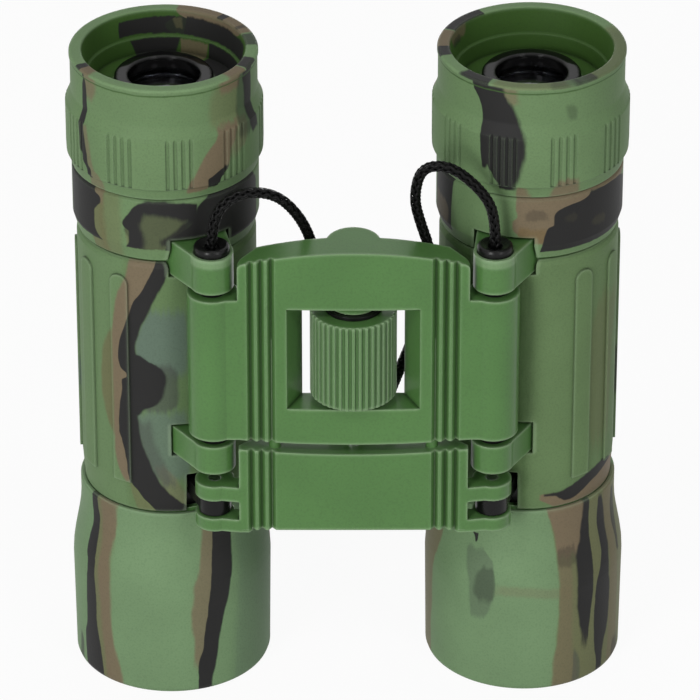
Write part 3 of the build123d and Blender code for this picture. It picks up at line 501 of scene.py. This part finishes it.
RIGHT_RIM = [
    stroke(OLIVE, sweep(76, 110, 117, 40), soft=(6, 8), strength=0.55),
    stroke(BLACK, sweep(72, 110, 117, 38), soft=(6, 12), strength=0.2),
    stroke(OLIVE, sweep(-2, 110, 117, 24), soft=(4, 6), strength=0.5),
    stroke(BLACK, sweep(20, 110, 117, 10), soft=(6, 3), strength=0.45),
    stroke(BLACK, sweep(-129, 110, 117, 17), soft=(1, 2)),
    stroke(BROWN, sweep(-99, 110, 117, 12), soft=(1, 1)),
    stroke(BLACK, sweep(-82, 110, 117, 6.5), soft=(1, 2)),
    stroke(BLACK, sweep(-40, 110, 117, 11), soft=(4, 1.5)),
    stroke(BLACK, sweep(34, 110, 117, 8), soft=(5, 2), strength=0.8),
]
RIGHT_INSIDE = [
    stroke(BROWN, sweep(-114, 111.8, 115, 12), soft=(4, 2), ends=(0.8, 0.5), strength=0.7),
    stroke(BLACK, sweep(-112, 111.2, 112.6, 7), soft=(4, 3), ends=(0.5, 0.5), strength=0.6),
]
LEFT_COLLAR = [
    stroke(OLIVE, [(82, -42, -26), (95, -44, -28)], soft=(4, 6), ends=(1, 1), strength=0.45),
    stroke(OLIVE, [(82, -50, -37), (86, -50, -38), (91, -48, -40), (94, -49, -40)], soft=(1, 5),
           strength=0.75),
    stroke(BROWN, [(91.5, -46, -41), (93, -49, -40), (95, -50, -39)], soft=(1, 2.5), ends=(1.2, 0.5),
           strength=0.8),
    stroke(BLACK, [(84.6, -82, -41), (85.6, -82, -45), (87, -82, -47.3), (89, -82, -47.8),
                   (90.6, -82, -45.2), (92, -82, -42.3), (93, -82, -46.5), (95, -82, -49.6)],
           soft=(2, 1.2), ends=(0.3, 0.5)),
    stroke(OLIVE, [(84.8, -23, 12), (88, -24, 14), (91.5, -20, 16)], soft=(2, 4), ends=(0.4, 1),
           strength=0.55),
    stroke(BLACK, [(84.8, -23, 10), (86, -22, 12), (88.3, -25, 16), (91, -21, 19), (92.4, -18, 20)],
           soft=(2, 5), ends=(0.4, 1), strength=0.5),
    stroke(BLACK, [(84.8, -23.6, -13), (86, -22, -12), (87.5, -22, -13), (89, -26.4, -14.5),
                   (90, -24.7, -13), (91, -22, -11), (92, -19.7, -9), (93, -15, -6)], soft=(1.2, 5),
           ends=(0.3, 1)),
    band(BLACK, [(-19, 91.4, 92.2), (-14, 91.3, 93.2), (-8, 91.2, 93.7), (0, 91.0, 93.7), (8, 90.4, 93.4),
                 (15, 89.8, 93.2), (21, 89.2, 92.8)], soft=(1.2, 0.5), ends=(2, 1)),
    band(BLACK, [(-2, 85.4, 86.6), (6, 85.6, 88.0), (12, 86.4, 89.4), (20, 87.6, 91.5)], soft=(1, 1),
         ends=(4, 2), strength=0.9),
    stroke(BLACK, [(84.6, 0, 76), (86.5, 3, 76), (88, 11, 76), (89.5, 18.5, 76), (91, 20.5, 76),
                   (92.4, 22, 75), (93.3, 26, 72), (95, 38, 70)], soft=(1.5, 3), ends=(0.3, 0.5)),
    stroke(BROWN, sweep(106, 84, 95, 10, lean=5), soft=(3, 3)),
    stroke(BLACK, sweep(135, 84, 95, 11, lean=9), soft=(1, 5)),
    stroke(BLACK, sweep(-140, 86, 95, 20, lean=5), soft=(4, 6), ends=(2, 1)),
]
RIGHT_COLLAR = [
    stroke(BLACK, [(84, -84, -57.5), (88, -84, -57.8), (92, -82, -57), (95, -80, -54)], soft=(3, 0.8),
           ends=(0.3, 0.5)),
    stroke(BROWN, [(85, -84, -62), (87, -82, -61), (89, -82, -66)], soft=(3, 3), ends=(1, 1), strength=0.4),
    stroke(BROWN, [(85.4, -5, 8), (87, -9, 10), (88.3, -12.4, 14), (89.4, -12.2, 17), (90.6, -9, 20),
                   (92, -10, 40), (92.8, -9.8, 80), (95, -9.6, 86)], soft=(1.8, 2), ends=(0.5, 0.5)),
    stroke(RUST, [(85.5, -6, 8), (87, -9, 9), (88.2, -8, 9)], soft=(2, 2), ends=(0.5, 1), strength=0.6),
    stroke(BLACK, [(89.8, -3, 9), (90.6, -4, 9), (91.6, -1, 6)], soft=(4, 4), ends=(0.8, 0.8),
           strength=0.35),
    stroke(BLACK, [(83.8, 5, 84), (86, 6.7, 84), (87.3, 8, 84), (88.3, 10, 84), (88.9, 13.6, 84),
                   (90, 13.5, 84), (91, 14.5, 82), (91.6, 18, 80), (92.1, 24, 77), (92.5, 34, 74),
                   (92.9, 37, 68), (93.4, 38, 44)], soft=(0.8, 3), ends=(0.25, 0.4)),
    stroke(OLIVE, [(86.8, 42, 51), (87.6, 40, 52), (88.4, 43, 50)], soft=(3, 3), ends=(0.8, 0.8),
           strength=0.12),
    stroke(OLIVE, [(89, 22, 28), (89.8, 21, 29), (90.4, 23, 27)], soft=(3, 3), ends=(0.8, 0.8),
           strength=0.08),
    stroke(BROWN, sweep(128, 84, 96, 14), soft=(3, 4)),
    stroke(BLACK, sweep(165, 84, 94, 16, lean=-8), soft=(1, 5)),
    stroke(BLACK, sweep(-128, 86, 95, 12, lean=6), soft=(2, 6)),
]
LEFT_ARMOUR = [
    stroke(GREEN_CUP, [(33, -95, -28), (60, -95, -30), (86, -95, -26)], soft=(6, 6), ends=(2, 2),
           strength=0.8),
    stroke(SLATE, [(61, -19, 14), (66, -20, 14), (69, -17, 14), (73, -10, 12)], soft=(4, 4), ends=(3, 3),
           strength=0.8),
    stroke(SLATE, [(41, -8, 14), (45, -14, 14), (49, -19, 14), (54, -20, 12)], soft=(5, 4), ends=(3, 2.5),
           strength=0.7),
    stroke(OLIVE, [(48.5, -38, -30), (51, -42, -30), (54, -45.5, -30), (57.5, -47.2, -30),
                   (61, -46.5, -30), (64, -45, -30), (66.3, -42, -30), (68.3, -38, -30)], soft=(3, 2),
           ends=(1.5, 1.5), strength=0.8),
    stroke(BROWN, [(40, -29, -22), (42, -32, -22), (45, -34.6, -24), (50, -35.5, -28), (55, -35.5, -27),
                   (60, -35.5, -25), (65, -35.3, -27), (70, -34.5, -22), (73, -33.2, -18),
                   (75.3, -31.7, -14), (77, -28.7, -11), (80, -25, -6), (84, -22.5, -2)], soft=(2.2, 1),
           ends=(1, 1)),
    stroke(OLIVE, [(34.5, -21, -6), (37, -24, -12), (39.6, -26, -20)], soft=(2, 1), ends=(1, 0.6),
           strength=0.6),
    stroke(BROWN, [(35.5, 6, 17), (38, 0, 12), (41, -6, 6), (43.5, -9, -2)], soft=(4, 4), ends=(1, 1.5),
           strength=0.45),
    stroke(GREY, [(54, -20, 2), (57, -12, 8), (60, -8, 8), (63, -14, 4)], soft=(3, 4), ends=(1.5, 1.5),
           strength=0.75),
    stroke(GREY, [(40, -8, 4), (44, -14, -2), (48, -19, -8), (52, -20, -11)], soft=(2, 6), ends=(2, 2),
           strength=0.6),
    stroke(BLACK, [(53, -28, -18), (54.3, -28, -14), (55.3, -28, -7), (56.5, -28, -3.2), (58.5, -26, -1),
                   (60.4, -24, 0.5), (61.6, -26, -1), (62.6, -28, -5), (63.5, -28, -12), (64.6, -28, -18)],
           soft=(1, 3), ends=(0.6, 0.6)),
    stroke(BLACK, [(34, -6, 18), (35, -9, 14.6), (36, -12.4, 10), (37, -16.3, 5.6), (38.5, -20.8, 0),
                   (40, -24.9, -4.5), (42, -26.2, -8.8), (44, -26.8, -11.8), (46, -28, -14.4),
                   (48, -30, -17), (50, -32, -18.8), (52, -31.8, -19.2), (54, -31.4, -19.7),
                   (57, -29.8, -19), (59.4, -29.4, -16), (60.4, -25.9, -16), (61.3, -28.4, -17),
                   (62.2, -30.6, -18), (64, -31.3, -19), (66, -30.4, -19.7), (68, -28.7, -18),
                   (70, -26.1, -15.8), (72, -23.7, -11.8), (74, -21.3, -8.8), (76, -16.3, -5),
                   (78, -12.4, -1.1), (80, -8.8, 1.7), (84, -3, 5.2)], soft=(0.8, 2), ends=(1, 1)),
    stroke(BROWN, sweep(66, 36, 60, 9.5, lean=-5), soft=(3, 3)),
    stroke(BLACK, sweep(96, 42, 84, 10.8, lean=7, bow=10), soft=(1, 4)),
    stroke(BROWN, sweep(110, 40, 80, 10.8, lean=6, bow=10), soft=(1, 5)),
    stroke(BLACK, sweep(158, 52, 84, 9.5, lean=-10), soft=(1, 4)),
    stroke(BROWN, sweep(-150, 36, 70, 12.2, lean=8, bow=-9), soft=(4, 2)),
    stroke(BLACK, sweep(-138, 36, 74, 8.1, lean=8, bow=-9), soft=(1, 3)),
    stroke(SLATE, sweep(-105, 45, 70, 16.2), soft=(7, 8), strength=0.7),
]
RIGHT_ARMOUR = [
    # Painted shadow: dark green beside the knuckle, where the knuckle and bridge shade the barrel
    stroke(DEEP_GREEN, [(36, -70, -5), (60, -70, -3), (83, -70, -4)], soft=(4, 18), ends=(4, 3),
           strength=0.75),
    stroke(OLIVE, [(44, 46, 62), (52, 43, 64), (62, 43, 66), (72, 48, 74)], soft=(5, 5), ends=(5, 5),
           strength=0.4),
    band(BROWN, [(8, 36.3, 37.4), (14, 35.4, 37.4), (25, 34, 37), (36, 34, 37), (45, 34, 37.6),
                 (56, 34, 38.6), (67, 34, 39.2), (84, 34, 38.6)], soft=(0.3, 0.5), ends=(1.5, 4)),
    band(BLACK, [(11, 37.0, 37.4), (18, 36.9, 37.5), (22, 36.3, 37.6), (28, 35.5, 38.0), (34, 35.7, 38.6),
                 (40, 36.4, 39.2), (48, 37.4, 39.8), (56, 38.0, 40.2), (62, 38.4, 40.4), (68, 38.7, 39.7),
                 (74, 38.8, 39.1)], soft=(0.35, 0.5), ends=(1.5, 3)),
    stroke(BLACK, sweep(106, 40, 86, 13.5, lean=-3), soft=(2, 4)),
    stroke(BROWN, sweep(124, 38, 80, 12.2, lean=-6, bow=7), soft=(1, 4)),
    stroke(BLACK, sweep(160, 36, 72, 9.5, lean=9, bow=-8), soft=(1, 4)),
    stroke(BROWN, sweep(174, 36, 66, 9.5, lean=9, bow=-8), soft=(1, 4)),
    stroke(BLACK, sweep(-140, 44, 86, 10.8, lean=-8, bow=9), soft=(1, 5)),
    stroke(SLATE, sweep(-118, 50, 76, 13.5), soft=(6, 8), strength=0.7),
]
LEFT_HOOD = [
    # Slate tint and painted shade darkening the hood's right side
    stroke(SLATE, [(-4, 40, 92), (12, 42, 90), (26, 44, 88), (38, 46, 86)], soft=(8, 6), strength=0.25),
    stroke(BLACK, [(-4, 40, 92), (12, 42, 90), (26, 44, 88), (38, 46, 86)], soft=(12, 6), strength=0.12),
    stroke(OLIVE, [(-4, -52, -36), (10, -52, -40), (26, -54, -38), (38, -56, -42)], soft=(1, 6),
           strength=0.8),
    stroke(BROWN, [(-4, -41, -29), (2, -42, -31), (5, -43, -33), (9, -44, -36), (14, -46, -37.2),
                   (20, -47, -37.2), (25, -47, -38.6), (29, -48, -36.6), (33, -49, -35), (38, -52, -35)],
           soft=(4, 3), strength=0.95),
    stroke(BLACK, [(-4, -61.5, -44.5), (2, -62, -45), (4.5, -62.5, -46), (7, -62.2, -47.3),
                   (9, -60.3, -48.2), (13, -59.5, -49.2), (18, -58.6, -50), (21, -58, -50.6),
                   (24, -60.2, -50.8), (27, -59.4, -51), (30, -58.1, -50.7), (32.5, -58.8, -52.2),
                   (38, -59.4, -54)], soft=(1, 1)),
    stroke(BLACK, [(-1, -73, -66), (3, -71, -66), (5.5, -70, -67)], soft=(2, 2), ends=(1, 1.5),
           strength=0.7),
    stroke(BROWN, [(5, 14, 20), (9, 14, 22), (12, 13, 24), (14.5, 12.2, 25), (18, 13.5, 26),
                   (20.5, 14, 27), (23, 17, 28), (27, 19.3, 29), (31, 20.8, 30), (36, 21, 30)],
           soft=(2.6, 1), ends=(3, 1), strength=0.85),
    stroke(BLACK, [(-4, 15.8, 24), (2, 16.3, 25), (5, 16.6, 27), (8, 18.6, 28.4), (12, 20.8, 31),
                   (16, 22.5, 34.3), (20, 23.8, 37.1), (24, 25.9, 40), (28, 27.6, 41.8), (34, 28.5, 44)],
           soft=(0.7, 1.4), ends=(1, 2)),
    stroke(BROWN, sweep(100, -4, 30, 10.8, lean=-4), soft=(3, 4)),
    stroke(BLACK, sweep(116, 2, 40, 8.1, lean=5), soft=(1, 3)),
    stroke(BLACK, sweep(165, -4, 33, 9.5, lean=-8), soft=(1, 4)),
    stroke(BROWN, sweep(178, -4, 28, 9.5, lean=-8), soft=(2, 4)),
    stroke(BLACK, sweep(-122, 4, 40, 9.5, lean=6, bow=-4), soft=(1, 4)),
]
RIGHT_HOOD = [
    stroke(BROWN, [(-4, -92, -71), (4, -92, -71.5), (10, -92, -70), (16, -92, -68.6), (20, -92, -66.5),
                   (23, -90, -63.5), (26, -88, -62), (36, -88, -62)], soft=(3, 2.5), strength=0.8),
    band(BROWN, [(-18, 18.6, 20.6), (0, 18.8, 20.6), (12, 18.2, 20), (28, 17.5, 19.5)], soft=(1.0, 1.0),
         ends=(4, 4), strength=0.35),
    stroke(GREY, [(13.5, -33, -24), (16, -34, -21), (20, -34.5, -19), (23, -37, -19), (26.5, -39, -27)],
           soft=(2.5, 2), ends=(1.5, 1.5), strength=0.45),
    stroke(BLACK, [(16.8, -28, -21), (19, -31, -18.6), (21.5, -30, -18.4), (23.4, -26, -19)],
           soft=(3, 1.5), ends=(2, 1), strength=0.45),
    stroke(BLACK, [(27.5, -33, -32), (28.4, -34, -31.5), (29.1, -36, -31.5)], soft=(0.6, 0.6),
           ends=(0.4, 0.4)),
    stroke(OLIVE, [(-4, 16, 92), (8, 18, 92), (16, 20, 92), (24, 19, 92), (32, 15, 92), (38, 12, 92)],
           soft=(2.5, 3), strength=0.8),
    stroke(BROWN, [(25.5, 19, 36), (28, 18.6, 38), (30, 17.4, 39), (32, 15.2, 40), (34, 13.2, 41),
                   (38, 11, 41)], soft=(1.6, 1), ends=(2, 1)),
    stroke(BROWN, [(-4, 16, 33), (4, 17, 32), (8, 18.5, 29), (13, 20.6, 29), (22, 20, 28), (26, 19.5, 30)],
           soft=(2, 4), ends=(1, 2), strength=0.55),
    stroke(BLACK, [(23.5, 20, 31), (25, 19, 32), (27, 19, 31)], soft=(3, 2), ends=(1.2, 1.2), strength=0.4),
    stroke(BROWN, [(-4, 58, 76), (10, 60, 72), (22, 60, 70), (30, 59, 71), (36, 58, 70)], soft=(3, 3),
           strength=0.6),
    stroke(GREY, [(-1, 29, 34), (3, 30, 35), (6.5, 30, 32)], soft=(1.5, 2), ends=(1, 1.5), strength=0.6),
    stroke(BLACK, [(7.5, 36, 40.5), (10, 35, 41), (12, 33.5, 42), (14, 32.6, 42.5), (17, 31.4, 43.2),
                   (20, 31.3, 43.5), (24, 31.5, 43.6), (26, 33.2, 43.6), (28, 35.8, 43.6),
                   (30, 36.6, 43.6), (32, 38, 43.9), (38, 40, 45.5)], soft=(2.2, 0.9), ends=(4, 1)),
    stroke(BLACK, [(-4, 47.5, 53), (2, 48, 53.4), (5, 46.3, 54.4), (8, 45.6, 58), (12, 45.3, 59.4),
                   (17, 45.5, 59.2), (18.5, 46.3, 58.7), (20, 48.4, 58.7), (22, 50.6, 59), (25, 52, 60),
                   (29, 51.5, 59.9), (32, 52, 58.2), (34, 53, 56.5)], soft=(0.9, 1.8), ends=(1, 1.2)),
    stroke(BLACK, [(21, 71, 74), (24, 70.5, 75), (27, 69.5, 76), (30, 70, 77), (33, 71, 76)],
           soft=(1.2, 1.5), ends=(1, 1), strength=0.85),
    stroke(BLACK, sweep(71, -4, 4, 6), soft=(2, 3), ends=(1, 2), strength=0.6),
    stroke(BLACK, sweep(108, -4, 40, 9.5, lean=5), soft=(1, 4)),
    stroke(BROWN, sweep(150, 4, 40, 12.2, lean=-6), soft=(2, 4)),
    stroke(BLACK, sweep(170, -4, 36, 8.1, lean=-7), soft=(1, 3)),
    stroke(BLACK, sweep(-130, 0, 30, 10.8, lean=7), soft=(1, 5)),
]

paint = satin_paint("bridge_paint")
black_plastic = plain_finish("black_plastic", (0.005, 0.005, 0.005), 0.28, shine=0.2)
black_gloss = plain_finish("black_gloss", (0.004, 0.004, 0.004), 0.05, relief=0.01, edge=0.0008, shine=0.2)
inner_black = plain_finish("inner_black", (0.010, 0.010, 0.010), 0.7)
steel = plain_finish("turned_steel", (0.52, 0.52, 0.53), 0.28, metallic=1.0)
brass = plain_finish("turned_brass", (0.66, 0.48, 0.20), 0.30, metallic=1.0)
glass = coated_glass("coated_glass")


def dress(names, material):
    """Gives CAD nodes one material."""
    for name in names:
        slots = nodes[name].data.materials
        slots.clear()
        slots.append(material)


RUBBER = {
    "objective_hood": (GREEN_HOOD, {"left": LEFT_HOOD, "right": RIGHT_HOOD}),
    "armour": (GREEN_ARMOUR, {"left": LEFT_ARMOUR, "right": RIGHT_ARMOUR}),
    "rear_collar": (GREEN_CUP, {"left": LEFT_COLLAR, "right": RIGHT_COLLAR}),
    "eyecup": (GREEN_CUP, {"left": LEFT_EYECUP, "right": RIGHT_EYECUP}),
}
CUP_STREAKS = {"left": (LEFT_RIM, LEFT_INSIDE), "right": (RIGHT_RIM, RIGHT_INSIDE)}
for piece, (ground, streaks) in RUBBER.items():
    for side in SIDES:
        own = CUP_STREAKS[side] if piece == "eyecup" else ()
        dress([f"{side}_{piece}"], camo_rubber(f"{side}_{piece}_rubber", side, ground, streaks[side], *own))

# Finishes of the bridge's pieces, then of the pieces that each side has
dress(["bridge_frame", "focus_wheel", "focus_plate", "guide_rods"], paint)
dress(["coil_tie", "hinge_washers", "thrust_washers"], black_plastic)
dress(["fork_pins", "focus_screw"], steel)
dress(["focus_nut"], brass)
SIDE_FINISHES = (
    (paint, ("barrel_tube",)),
    (black_plastic, (
        "strap_cap", "objective_carriage", "objective_ring", "eyepiece_housing", "eyepiece_tube")),
    (black_gloss, ("eyepiece_bezel",)),
    (inner_black, ("prism_cage", "field_stop", "lens_spacer")),
    (steel, ("hinge_pin", "prism_clip")),
    (glass, ("objective_crown", "objective_flint", "half_prism", "roof_prism", "field_lens")),
)
for side in SIDES:
    for finish, pieces in SIDE_FINISHES:
        dress([f"{side}_{piece}" for piece in pieces], finish)
    dress([f"{side}_eye_lens"], coated_glass(f"{side}_eye_glass", BARREL_AXIS[side]))


# The neck cord: one braided cord from cap to cap, its unseen length coiled on the floor behind.
# Its length is in metres, the rest in millimetres
CORD_DIAMETER = 1.9
CAP_FLOOR = 86.6
PIN_HALF = (PIN["right"].x - PIN["left"].x) / 2 / MM
LEFT_ROUTE = [
    (-PIN_HALF, 0.0, CAP_FLOOR), (-PIN_HALF, 0.0, 92.3), (-19.0, 0.3, 96.6), (-12.6, 1.4, 96.2),
    (-8.4, 3.0, 90.8), (-6.2, 4.9, 83.5), (-4.2, 7.6, 73.0), (-1.2, 11.5, 62.0), (0.0, 17.0, 50.0),
    (0.0, 24.0, 38.0), (-1.0, 32.0, 27.0), (-4.4, 40.6, 17.0), (-9.2, 48.6, 9.0), (-12.4, 55.0, 4.2),
]
RIGHT_ROUTE = [
    (PIN_HALF, 0.0, CAP_FLOOR), (PIN_HALF, 0.0, 92.5), (20.6, 0.0, 97.0), (15.6, 0.2, 101.6),
    (10.8, 0.9, 101.0), (9.6, 1.9, 95.0), (10.6, 2.4, 90.4), (12.5, 2.5, 84.5), (12.1, 2.6, 77.5),
    (10.4, 3.4, 70.0), (8.0, 4.8, 62.5), (5.6, 6.6, 54.5), (3.0, 9.6, 47.0), (0.8, 13.5, 41.0),
    (0.0, 19.5, 34.0), (0.4, 27.0, 26.5), (3.0, 35.6, 19.4), (7.6, 44.4, 13.0), (11.6, 52.4, 8.2),
]
COIL_MEAN_R = 9.5
COIL_PITCH = 2.4
COIL_TURNS = 6.5
COIL_BEHIND = 70.0
COIL_FLOOR = 1.85
COIL_CLIMB = 0.25
POINTS_PER_TURN = 16
LEAD_IN = 9.0


def coil_line(turn):
    """Middle of the cord in the coil after so many turns: in on the lower layer, out on the upper."""
    half = COIL_TURNS / 2
    reach = COIL_PITCH * (half - COIL_CLIMB / 2)
    inner = COIL_MEAN_R - reach / 2
    away = abs(turn - half)
    if away >= COIL_CLIMB:
        radius = inner + COIL_PITCH * (away - COIL_CLIMB / 2)
    else:
        radius = inner + COIL_PITCH * away * away / (2 * COIL_CLIMB)
    climb = min(max((turn - half + COIL_CLIMB) / (2 * COIL_CLIMB), 0.0), 1.0)
    height = COIL_FLOOR + COIL_PITCH * climb * climb * (3 - 2 * climb)
    angle = math.pi - 2 * math.pi * turn
    return Vector((radius * math.cos(angle), COIL_BEHIND + radius * math.sin(angle), height))


def coil_heading(turn):
    """Way the cord runs after so many turns of the coil."""
    step = 1e-4
    return (coil_line(turn + step) - coil_line(turn - step)).normalized()


def lead_points(turn, away):
    """Two points that carry a route straight on to an end of the coil, the one nearer the coil last."""
    near = coil_line(turn) + coil_heading(turn) * (away * CORD_DIAMETER)
    return [near + coil_heading(turn) * (away * LEAD_IN), near]


def cord_points():
    """Control points of the whole cord in metres, from the left cap to the right."""
    turns = int(COIL_TURNS * POINTS_PER_TURN)
    coil = [coil_line(number / POINTS_PER_TURN) for number in range(turns + 1)]
    points = [Vector(point) for point in LEFT_ROUTE] + lead_points(0, -1) + coil
    points += list(reversed([Vector(point) for point in RIGHT_ROUTE] + lead_points(COIL_TURNS, 1)))
    return [Vector((BRIDGE_MIDDLE.x, BRIDGE_MIDDLE.y, 0)) + point * MM for point in points]


def cord_centreline():
    """Points along the cord's smooth line, read from its spline."""
    curve = bpy.data.curves.new("cord_route", "CURVE")
    curve.dimensions = "3D"
    curve.resolution_u = 8
    points = cord_points()
    spline = curve.splines.new("NURBS")
    spline.points.add(len(points) - 1)
    for spot, point in zip(spline.points, points):
        spot.co = (*point, 1)
    spline.order_u = 3
    spline.use_endpoint_u = True
    carrier = bpy.data.objects.new("cord_route", curve)
    bpy.context.scene.collection.objects.link(carrier)
    line = bpy.data.meshes.new_from_object(carrier.evaluated_get(bpy.context.evaluated_depsgraph_get()))
    spots = [vertex.co.copy() for vertex in line.vertices]
    bpy.data.objects.remove(carrier)
    bpy.data.meshes.remove(line)
    return spots


def evenly(line, step):
    """Points at an even step along a line."""
    spots, spare = [line[0]], 0.0
    for here, after in zip(line, line[1:]):
        run = (after - here).length
        while spare + run >= step:
            here = here.lerp(after, (step - spare) / run)
            run = (after - here).length
            spots.append(here)
            spare = 0.0
        spare += run
    return spots


# The braid: a number of yarns, half of them wound each way, with their sizes in millimetres
STRANDS = 10
BRAID_PITCH = 8.0
BRAID_STEP = 0.4
STRAND_HALF_WIDTH = 0.37
STRAND_HALF_THICK = 0.15
BRAID_WEAVE = 0.09
YARN_ROUND = 0.75
YARN_ALONG = 0.66


def braid(line):
    """Flat yarns wound both ways round a line, over and under each other."""
    spots = evenly(line, BRAID_STEP * MM)
    ahead = (spots[1] - spots[0]).normalized()
    side = ahead.orthogonal().normalized()
    frames = []
    for number, spot in enumerate(spots):
        after = spots[min(number + 1, len(spots) - 1)]
        before = spots[max(number - 1, 0)]
        way = (after - before).normalized()
        side = (ahead.rotation_difference(way) @ side).normalized()
        side = (side - way * side.dot(way)).normalized()
        ahead = way
        frames.append((spot, way, side))
    corners, faces = [], []
    middle_r = CORD_DIAMETER / 2 - STRAND_HALF_THICK - BRAID_WEAVE
    half = STRANDS // 2
    for strand in range(STRANDS):
        hand = 1 if strand < half else -1
        phase = 2 * math.pi * (strand % half) / half
        first = len(corners)
        for number, (spot, way, side) in enumerate(frames):
            turn = 2 * math.pi * number * BRAID_STEP / BRAID_PITCH
            angle = hand * turn + phase
            out = Quaternion(way, angle) @ side
            across = way.cross(out) * (hand * YARN_ROUND) - way * YARN_ALONG
            lift = middle_r + hand * BRAID_WEAVE * math.sin(half * turn)
            heart = spot + out * (lift * MM)
            corners += [
                heart + across * (STRAND_HALF_WIDTH * MM), heart + out * (STRAND_HALF_THICK * MM),
                heart - across * (STRAND_HALF_WIDTH * MM), heart - out * (STRAND_HALF_THICK * MM),
            ]
        for ring in range(len(frames) - 1):
            start = first + 4 * ring
            for corner in range(4):
                after = (corner + 1) % 4
                faces.append((start + corner, start + after, start + 4 + after, start + 4 + corner))
        last = len(corners) - 4
        faces += [(first + 3, first + 2, first + 1, first), (last, last + 1, last + 2, last + 3)]
    made = bpy.data.meshes.new("neck_cord")
    made.from_pydata(corners, [], faces)
    made.validate()
    for polygon in made.polygons:
        polygon.use_smooth = True
    return made


centreline = cord_centreline()
cord = bpy.data.objects.new("neck_cord", braid(centreline))
bpy.context.scene.collection.objects.link(cord)
cord_yarn = plain_finish("cord_yarn", (0.003, 0.003, 0.003), 0.36, grain=4500.0, relief=0.5, edge=0.0,
                         shine=0.11)
cord.data.materials.append(cord_yarn)
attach(cord, "bridge")
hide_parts("neck_cord_left", "neck_cord_right", "cord_coil")


# Floor, light and camera, in metres and watts
FLOOR_SIZE = 4.0
FLOOR_GREY = (0.82, 0.82, 0.82, 1)
FLOOR_SHADOW = 0.06
WHITE = (1, 1, 1, 1)
AMBIENT = 0.22


def white_to_camera(tree, lit, shadow):
    """Mixes a lit shader with plain white for camera, glossy and transmission rays, but for some shadow."""
    ray = place(tree, "ShaderNodeLightPath").outputs
    mirrored = sums(tree, "MAXIMUM", ray["Is Glossy Ray"], ray["Is Transmission Ray"])
    seen = sums(tree, "MAXIMUM", ray["Is Camera Ray"], mirrored)
    white = place(tree, "ShaderNodeEmission", {"Strength": 1.0})
    blend = place(tree, "ShaderNodeMixShader", {
        0: sums(tree, "MULTIPLY", seen, 1 - shadow), 1: lit, 2: white.outputs[0]})
    return blend.outputs[0]


floor_mesh = bpy.data.meshes.new("floor")
reach = FLOOR_SIZE / 2
floor_corners = [(-reach, -reach, 0), (reach, -reach, 0), (reach, reach, 0), (-reach, reach, 0)]
floor_mesh.from_pydata(floor_corners, [], [(0, 1, 2, 3)])
floor = bpy.data.objects.new("floor", floor_mesh)
bpy.context.scene.collection.objects.link(floor)
floor_white, floor_tree, floor_shader = blank("floor_white")
floor_shader.inputs["Base Color"].default_value = FLOOR_GREY
floor_shader.inputs["Roughness"].default_value = 0.8
floor_output = floor_tree.nodes["Material Output"].inputs["Surface"]
floor_tree.links.new(white_to_camera(floor_tree, floor_shader.outputs[0], FLOOR_SHADOW), floor_output)
floor_mesh.materials.append(floor_white)

world = bpy.data.worlds.new("studio")
bpy.context.scene.world = world
world.use_nodes = True
sky = world.node_tree
ambient = sky.nodes["Background"]
ambient.inputs["Color"].default_value = WHITE
ambient.inputs["Strength"].default_value = AMBIENT
sky.links.new(white_to_camera(sky, ambient.outputs[0], 0.0), sky.nodes["World Output"].inputs["Surface"])


def aimed(name, data, at, aim):
    """Lamp or camera placed at one point and turned to look at another."""
    holder = bpy.data.objects.new(name, data)
    holder.location = at
    holder.rotation_euler = (Vector(aim) - Vector(at)).to_track_quat("-Z", "Y").to_euler()
    bpy.context.scene.collection.objects.link(holder)
    return holder


def softbox(name, at, wide, high, watts):
    """Rectangular lamp that looks at the middle of the bridge."""
    lamp = bpy.data.lights.new(name, "AREA")
    lamp.shape = "RECTANGLE"
    lamp.size = wide
    lamp.size_y = high
    lamp.energy = watts
    aimed(name, lamp, at, LAMP_AIM)


LAMP_AIM = (0.0, 0.0, 0.06)
softbox("left_softbox", (-0.60, -1.1, 0.25), wide=0.35, high=0.8, watts=9.3)
softbox("right_softbox", (0.75, -1.0, 0.25), wide=0.35, high=0.8, watts=2.8)
softbox("left_high_lamp", (-0.55, -0.80, 1.15), wide=0.3, high=0.3, watts=3.2)
softbox("right_high_lamp", (0.55, -0.80, 1.15), wide=0.3, high=0.3, watts=2.6)
softbox("back_softbox", (0.0, 1.3, 0.11), wide=0.9, high=0.2, watts=4.0)
softbox("top_softbox", (0.0, 0.25, 1.2), wide=0.9, high=0.5, watts=1.4)

CAMERA_AT = (-0.0017, -0.8337, 0.5513)
CAMERA_AIM = (0.00036, 0.0, 0.05945)
camera = bpy.data.cameras.new("camera")
camera.sensor_width = 36.0
camera.lens = 302.2
camera.clip_start = 0.05
camera.clip_end = 10.0
bpy.context.scene.camera = aimed("camera", camera, CAMERA_AT, CAMERA_AIM)
bpy.context.scene.view_settings.view_transform = "Standard"
